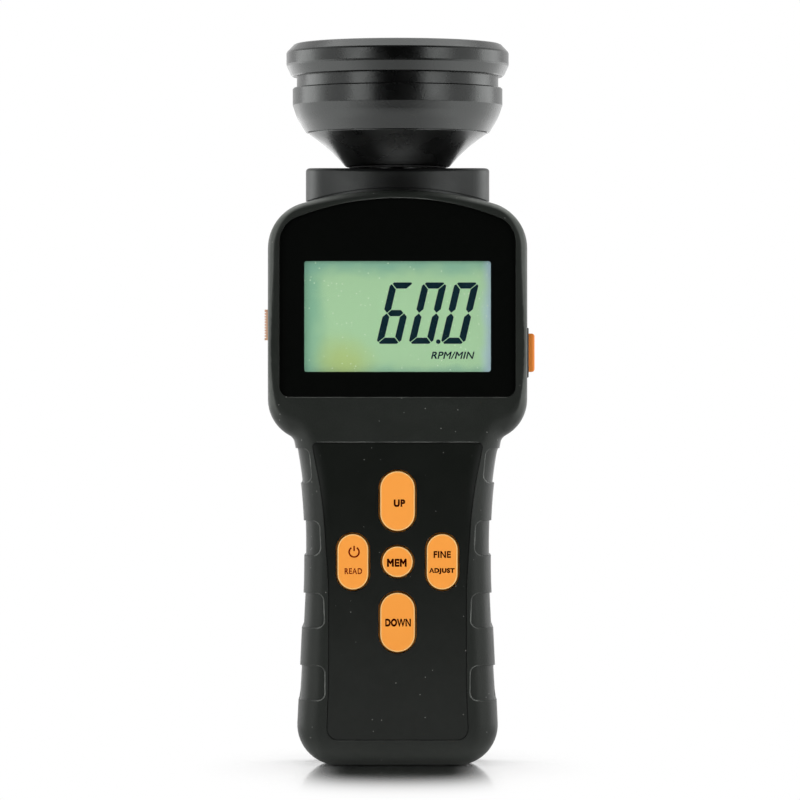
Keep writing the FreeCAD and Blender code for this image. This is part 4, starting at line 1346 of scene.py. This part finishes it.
    def build(self) -> None:
        """Model the figures, the point and the unit that the cell shows."""
        self.masters = {"a": self.top_segment(), "f": self.upper_segment(), "g": self.centre_segment()}
        about = Vector((self.left + self.wide / 2, self.face, self.base + self.tall / 2)) * MM
        for source, letter, axis in (("f", "b", 0), ("f", "e", 2), ("b", "c", 2), ("a", "d", 2)):
            self.masters[letter] = again(self.masters[source], f"bar_{letter}", Vector())
            flip(self.masters[letter], axis, about)
        shown = (("figure_tens", "acdefg"), ("figure_units", "abcdef"), ("figure_tenths", "abcdef"))
        for column, (name, lit) in enumerate(shown):
            self.keep(self.figure(name, column, lit), Look.SEGMENT, "lcd_cell")
        for master in self.masters.values():
            bpy.data.objects.remove(master)
        self.keep(self.decimal_point(), Look.SEGMENT, "lcd_cell")
        unit = self.unit.build(self.face - self.ink, self.face + self.ink)
        self.keep(unit, Look.SEGMENT, "lcd_cell")

    def dress(self) -> None:
        """Give the CAD nodes their finishes."""
        Look.LENS.put_on("display_lens")
        Look.BOND.put_on("lens_bond_frame")
        Look.LCD.put_on("lcd_glass")
        Look.WHITE.put_on("lcd_frame")
        Look.RUBBER.put_on("zebra_strips")


@dataclass
class Keypad(SubAssembly):
    """The plate, the five keys with their words, and the mat under them.

    Every size is in millimetres.

    Attributes:
        cap: the front of the key caps.
        ink: how thick the printed words are on each side of it.
        power: the power mark's middle, to the right and upwards.
        words: the body, the ink and the lettering of each word.
    """

    cap: float = -19.30
    ink: float = 0.025
    power: Pair = (-12.4, 61.4)
    words: tuple[tuple[str, Look, Lettering], ...] = (
        ("up_key", Look.INK_DARK, Lettering("legend_up", "UP", 0.55, 75.35, 3.3, 2.2)),
        ("down_key", Look.INK_DARK, Lettering("legend_down", "DOWN", 0.15, 41.25, 7.3, 2.3, spacing=1.1)),
        ("mem_key", Look.INK_DARK, Lettering("legend_mem", "MEM", -0.2, 58.35, 5.6, 2.3, weight=0.115)),
        ("read_key", Look.INK_THIN, Lettering("legend_read", "READ", -12.6, 55.95, 5.0, 1.7, weight=0.046)),
        ("fine_key", Look.INK_DARK, Lettering("legend_fine", "FINE", 12.75, 60.7, 4.9, 2.0, weight=0.092)),
        (
            "fine_key", Look.INK_DARK,
            Lettering("legend_adjust", "ADJUST", 12.65, 55.95, 7.3, 1.8, weight=0.100),
        ),
    )

    def build(self) -> None:
        """Print the words and the power mark on the keys."""
        front, back = self.cap - self.ink, self.cap + self.ink
        for body, ink, lettering in self.words:
            self.keep(lettering.build(front, back), ink, "key_orange", body)
        self.keep(self.power_mark(front, back), Look.INK_THIN, "key_orange", "read_key")

    def power_mark(self, front: float, back: float) -> Piece:
        """Model the power mark: an open ring with a bar in its gap.

        Args:
            front: where the ink's outer face lies.
            back: where its inner face lies.

        Returns:
            The finished mark.
        """
        line, radius, opening, steps = 0.44 * MM, 1.42 * MM, math.radians(64), 40
        stem_foot, stem_tip, rounding = 0.25 * MM, 1.78 * MM, 0.12 * MM
        depth = (back - front) * MM
        section = Vector((0.0, depth, line)) / 2
        top = Vector((0.0, 0.0, radius))
        ring = block("power_ring", top - section - Vector((line, 0.0, 0.0)), top + section)
        with editing(ring):
            pick(ring, Kind.VERT, lambda middle, _: middle.x < -line / 2)
            bpy.ops.mesh.delete(type="VERT")
            pick(ring, Kind.VERT, lambda *_: True)
            bpy.ops.mesh.spin(steps=steps, angle=math.tau - opening, center=ORIGIN, axis=(0.0, 1.0, 0.0))
            bpy.ops.mesh.select_all(action="SELECT")
            bpy.ops.mesh.remove_doubles(threshold=1e-7)
            bpy.ops.mesh.normals_make_consistent(inside=False)
            order_by_place(ring)
        ring.rotation_euler = (0.0, -opening / 2, 0.0)
        settle(ring, "power_ring")
        half = Vector((line, depth, 0.0)) / 2
        foot, tip = Vector((0.0, 0.0, stem_foot)), Vector((0.0, 0.0, stem_tip))
        stem = block("power_stem", foot - half, tip + half)
        with editing(stem):
            pick(stem, Kind.EDGE, lambda _, direction: abs(direction.y) > ALONG)
            bevel_picked(rounding, 3)
        mark = join("power_mark", [ring, stem])
        across, up = self.power
        mark.location = Vector((across, (front + back) / 2, up)) * MM
        return settle(mark, "power_mark")

    def dress(self) -> None:
        """Give the CAD nodes their finishes."""
        Look.PANEL.put_on("keypad_plate")
        Look.KEY.put_on("key_up", "key_down", "key_read", "key_mem", "key_fine")
        Look.RUBBER.put_on("keypad_mat")


@dataclass
class SideControls(SubAssembly):
    """The push button on the right and the slide switch on the left."""

    def dress(self) -> None:
        """Give the CAD nodes their finishes."""
        Look.BUTTON.put_on("side_button")
        Look.KNOB.put_on("slide_knob")
        Look.PANEL.put_on("side_button_bezel")
        Look.WHITE.put_on("side_switch_plunger", "slide_switch_lever")
        Look.CHIP.put_on("side_switch_body")
        Look.STEEL.put_on("slide_switch_body")


@dataclass
class LampHead(SubAssembly):
    """The collar, the turned lamp and the flash tube in it."""

    def dress(self) -> None:
        """Give the CAD nodes their finishes."""
        Look.HEAD.put_on("neck_cone", "lamp_cup", "bezel_ring", "bezel_gasket")
        Look.COLLAR.put_on("lamp_collar")
        Look.RUBBER.put_on("neck_washer", "glass_seal")
        Look.STEEL.put_on("neck_nut", "tube_electrodes", "trigger_wire")
        Look.MIRROR.put_on("reflector")
        Look.GLASS.put_on("glass_window", "flash_tube")
        Look.CERAMIC.put_on("lamp_socket")


@dataclass
class Electronics(SubAssembly):
    """The two boards and what stands on them."""

    def dress(self) -> None:
        """Give the CAD nodes their finishes."""
        Look.BOARD.put_on("main_board", "hv_board")
        Look.CHIP.put_on("board_chips", "flash_capacitor", "trigger_coil")
        Look.WHITE.put_on("board_header")
        Look.FERRITE.put_on("transformer_core")
        Look.COPPER.put_on("transformer_coil")
        Look.LEAD.put_on("lamp_leads", "battery_leads")
        Look.STEEL.put_on("board_screws")


@dataclass
class BatteryBay(SubAssembly):
    """The battery door, the cells and their contacts."""

    def dress(self) -> None:
        """Give the CAD nodes their finishes."""
        Look.CASE.put_on("battery_door")
        Look.CELL.put_on("aa_cells")
        Look.BRASS.put_on("battery_springs")
        Look.STEEL.put_on("battery_contacts")


# ---------------------------------------------------------------- studio


@dataclass(frozen=True)
class Softbox:
    """A square lamp that faces the middle of the object.

    Attributes:
        name: the lamp's name.
        place: where it stands, in metres.
        size: its side, in metres.
        power: its power, in watts.
        mirrored: whether gloss and glass show it.
    """

    name: str
    place: tuple[float, float, float]
    size: float
    power: float
    mirrored: bool = True

    def build(self, target: Vector) -> None:
        """Make the lamp.

        Args:
            target: the point that it faces, in metres.
        """
        bpy.ops.object.light_add(type="AREA", location=self.place)
        lamp = bpy.context.object
        lamp.name = self.name
        lamp.data.shape, lamp.data.size, lamp.data.energy = "SQUARE", self.size, self.power
        lamp.rotation_euler = (target - Vector(self.place)).to_track_quat("-Z", "Y").to_euler()
        lamp.visible_camera = False
        lamp.visible_glossy = lamp.visible_transmission = self.mirrored


@dataclass
class Studio:
    """A pale floor, a white tent with a dark opening in front, soft lamps and the camera.

    Attributes:
        eye: where the camera stands, in metres.
        lens, sensor: its focal length and its sensor's width, in millimetres.
        near, far: how close and how far it sees, in metres.
        aim: the height that the lamps face, in metres.
        ambient: the tent's light on the object.
        opening: how bright the tent's front opening looks in reflections.
        ground: the floor's radius, in metres.
        lamps: the soft lamps round the object.
    """

    eye: tuple[float, float, float] = (0.0007, -1.590, 0.1048)
    lens: float = 247.6
    sensor: float = 36.0
    near: float = 0.05
    far: float = 50.0
    aim: float = 0.10
    ambient: float = 0.75
    opening: float = 0.012
    ground: float = 6.0
    lamps: tuple[Softbox, ...] = (
        Softbox("left_softbox", (-0.88, -1.00, 0.35), 0.60, 2.4),
        Softbox("right_softbox", (0.88, -1.00, 0.35), 0.60, 2.4),
        Softbox("left_rim", (-1.15, 0.45, 0.25), 0.70, 3.8),
        Softbox("right_rim", (1.15, 0.45, 0.25), 0.70, 3.8),
        Softbox("top_softbox", (0.00, 0.10, 1.20), 1.30, 11.0),
        Softbox("front_fill", (0.00, -1.80, 0.50), 0.80, 7.0, mirrored=False),
    )

    def build(self) -> None:
        """Make the camera, the tent, the floor and the lamps."""
        self.camera()
        self.tent()
        self.floor()
        for lamp in self.lamps:
            lamp.build(Vector((0.0, 0.0, self.aim)))

    def camera(self) -> None:
        """Make the camera, level and square to the front."""
        bpy.ops.object.camera_add(location=self.eye, rotation=(math.pi / 2, 0.0, 0.0))
        camera = bpy.context.object
        camera.data.lens, camera.data.sensor_width = self.lens, self.sensor
        camera.data.clip_start, camera.data.clip_end = self.near, self.far
        bpy.context.scene.camera = camera

    def tent(self) -> None:
        """Make the white world, which gloss sees with a dark opening in front."""
        world = bpy.data.worlds.new("tent")
        bpy.context.scene.world = world
        world.use_nodes = True
        graph = Graph(world.node_tree)
        way = graph.parts(graph.add("ShaderNodeTexCoord").outputs["Generated"])
        rays = graph.rays()
        past_opening = (self.opening, 1.0)
        aside = graph.span(graph.math("ABSOLUTE", way["X"]), (0.53, 0.93), past_opening)
        behind = graph.span(way["Y"], (-0.10, 0.30), past_opening)
        level = graph.span(graph.mirrored(rays), end=(self.ambient, 1.0))
        lit = graph.math("MULTIPLY", graph.math("MAXIMUM", aside, behind), level)
        background = graph.tree.nodes["Background"]
        background.inputs["Color"].default_value = PURE_WHITE
        strength = graph.blend(rays["Is Camera Ray"], lit, 1.0)
        graph.tree.links.new(strength, background.inputs["Strength"])
        bpy.context.scene.view_settings.view_transform = "Standard"

    def floor(self) -> None:
        """Make the pale floor: it mirrors the foot, and fades into the white tent further out."""
        bpy.ops.object.select_all(action="DESELECT")
        bpy.ops.mesh.primitive_circle_add(vertices=96, radius=self.ground, fill_type="NGON")
        floor = settle(bpy.context.object, "floor")
        surface = Finish("pale_floor", (0.95, 0.95, 0.95, 1.0), 0.35).start()
        graph = surface.graph
        spot, rays = graph.parts(graph.place()), graph.rays()
        off_middle = graph.math("ABSOLUTE", spot["X"])
        under_foot = graph.math(
            "MULTIPLY",
            graph.span(spot["Y"], (-0.135, -0.040)),
            graph.span(spot["Y"], (-0.010, 0.025), FALL),
            graph.span(off_middle, (0.014, 0.032), (1.0, 0.3)),
            graph.span(off_middle, (0.038, 0.058), FALL),
            rays["Is Camera Ray"],
        )
        mirror = graph.add("ShaderNodeBsdfGlossy", {"Color": PURE_WHITE, "Roughness": 0.06})
        polished = graph.layer(under_foot, surface.shader, mirror)
        oval = graph.reach(graph.math("MULTIPLY", spot["X"], 2.5), spot["Y"])
        seen = graph.math("MULTIPLY", graph.span(oval, (0.055, 0.155)), rays["Is Camera Ray"])
        away = graph.span(graph.reach(spot["X"], spot["Y"]), (0.02, 0.07))
        in_gloss = graph.math("MULTIPLY", away, graph.mirrored(rays))
        wings = graph.span(off_middle, (0.05, 0.25), (1.0, 2.0))
        ahead = graph.span(spot["Y"], (-0.40, -0.22), (self.opening, 1.0))
        strength = graph.blend(rays["Is Glossy Ray"], 1.0, graph.math("MULTIPLY", wings, ahead))
        glow = graph.add("ShaderNodeEmission", {"Strength": strength})
        surface.put_out(graph.layer(graph.math("MAXIMUM", seen, in_gloss), polished, glow))
        surface.material.cycles.emission_sampling = "NONE"
        floor.data.materials.append(surface.material)


def corners(box: tuple[Vector, Vector]) -> list[list[float]]:
    """Return a box's two corners as plain lists of numbers."""
    return [list(corner) for corner in box]


def main() -> None:
    """Build and dress each sub-assembly, then the studio."""
    logging.basicConfig(level=logging.INFO, format="%(name)s: %(message)s")
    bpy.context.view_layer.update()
    assemblies = (
        CaseShell(), Display(), Keypad(), SideControls(), LampHead(), Electronics(), BatteryBay(),
    )
    for assembly in assemblies:
        assembly.build()
        assembly.dress()
        names = ", ".join(piece.name for piece in assembly.made) or "no new pieces"
        log.info("%s: %s", type(assembly).__name__, names)
    Studio().build()


if __name__ == "__main__":
    main()
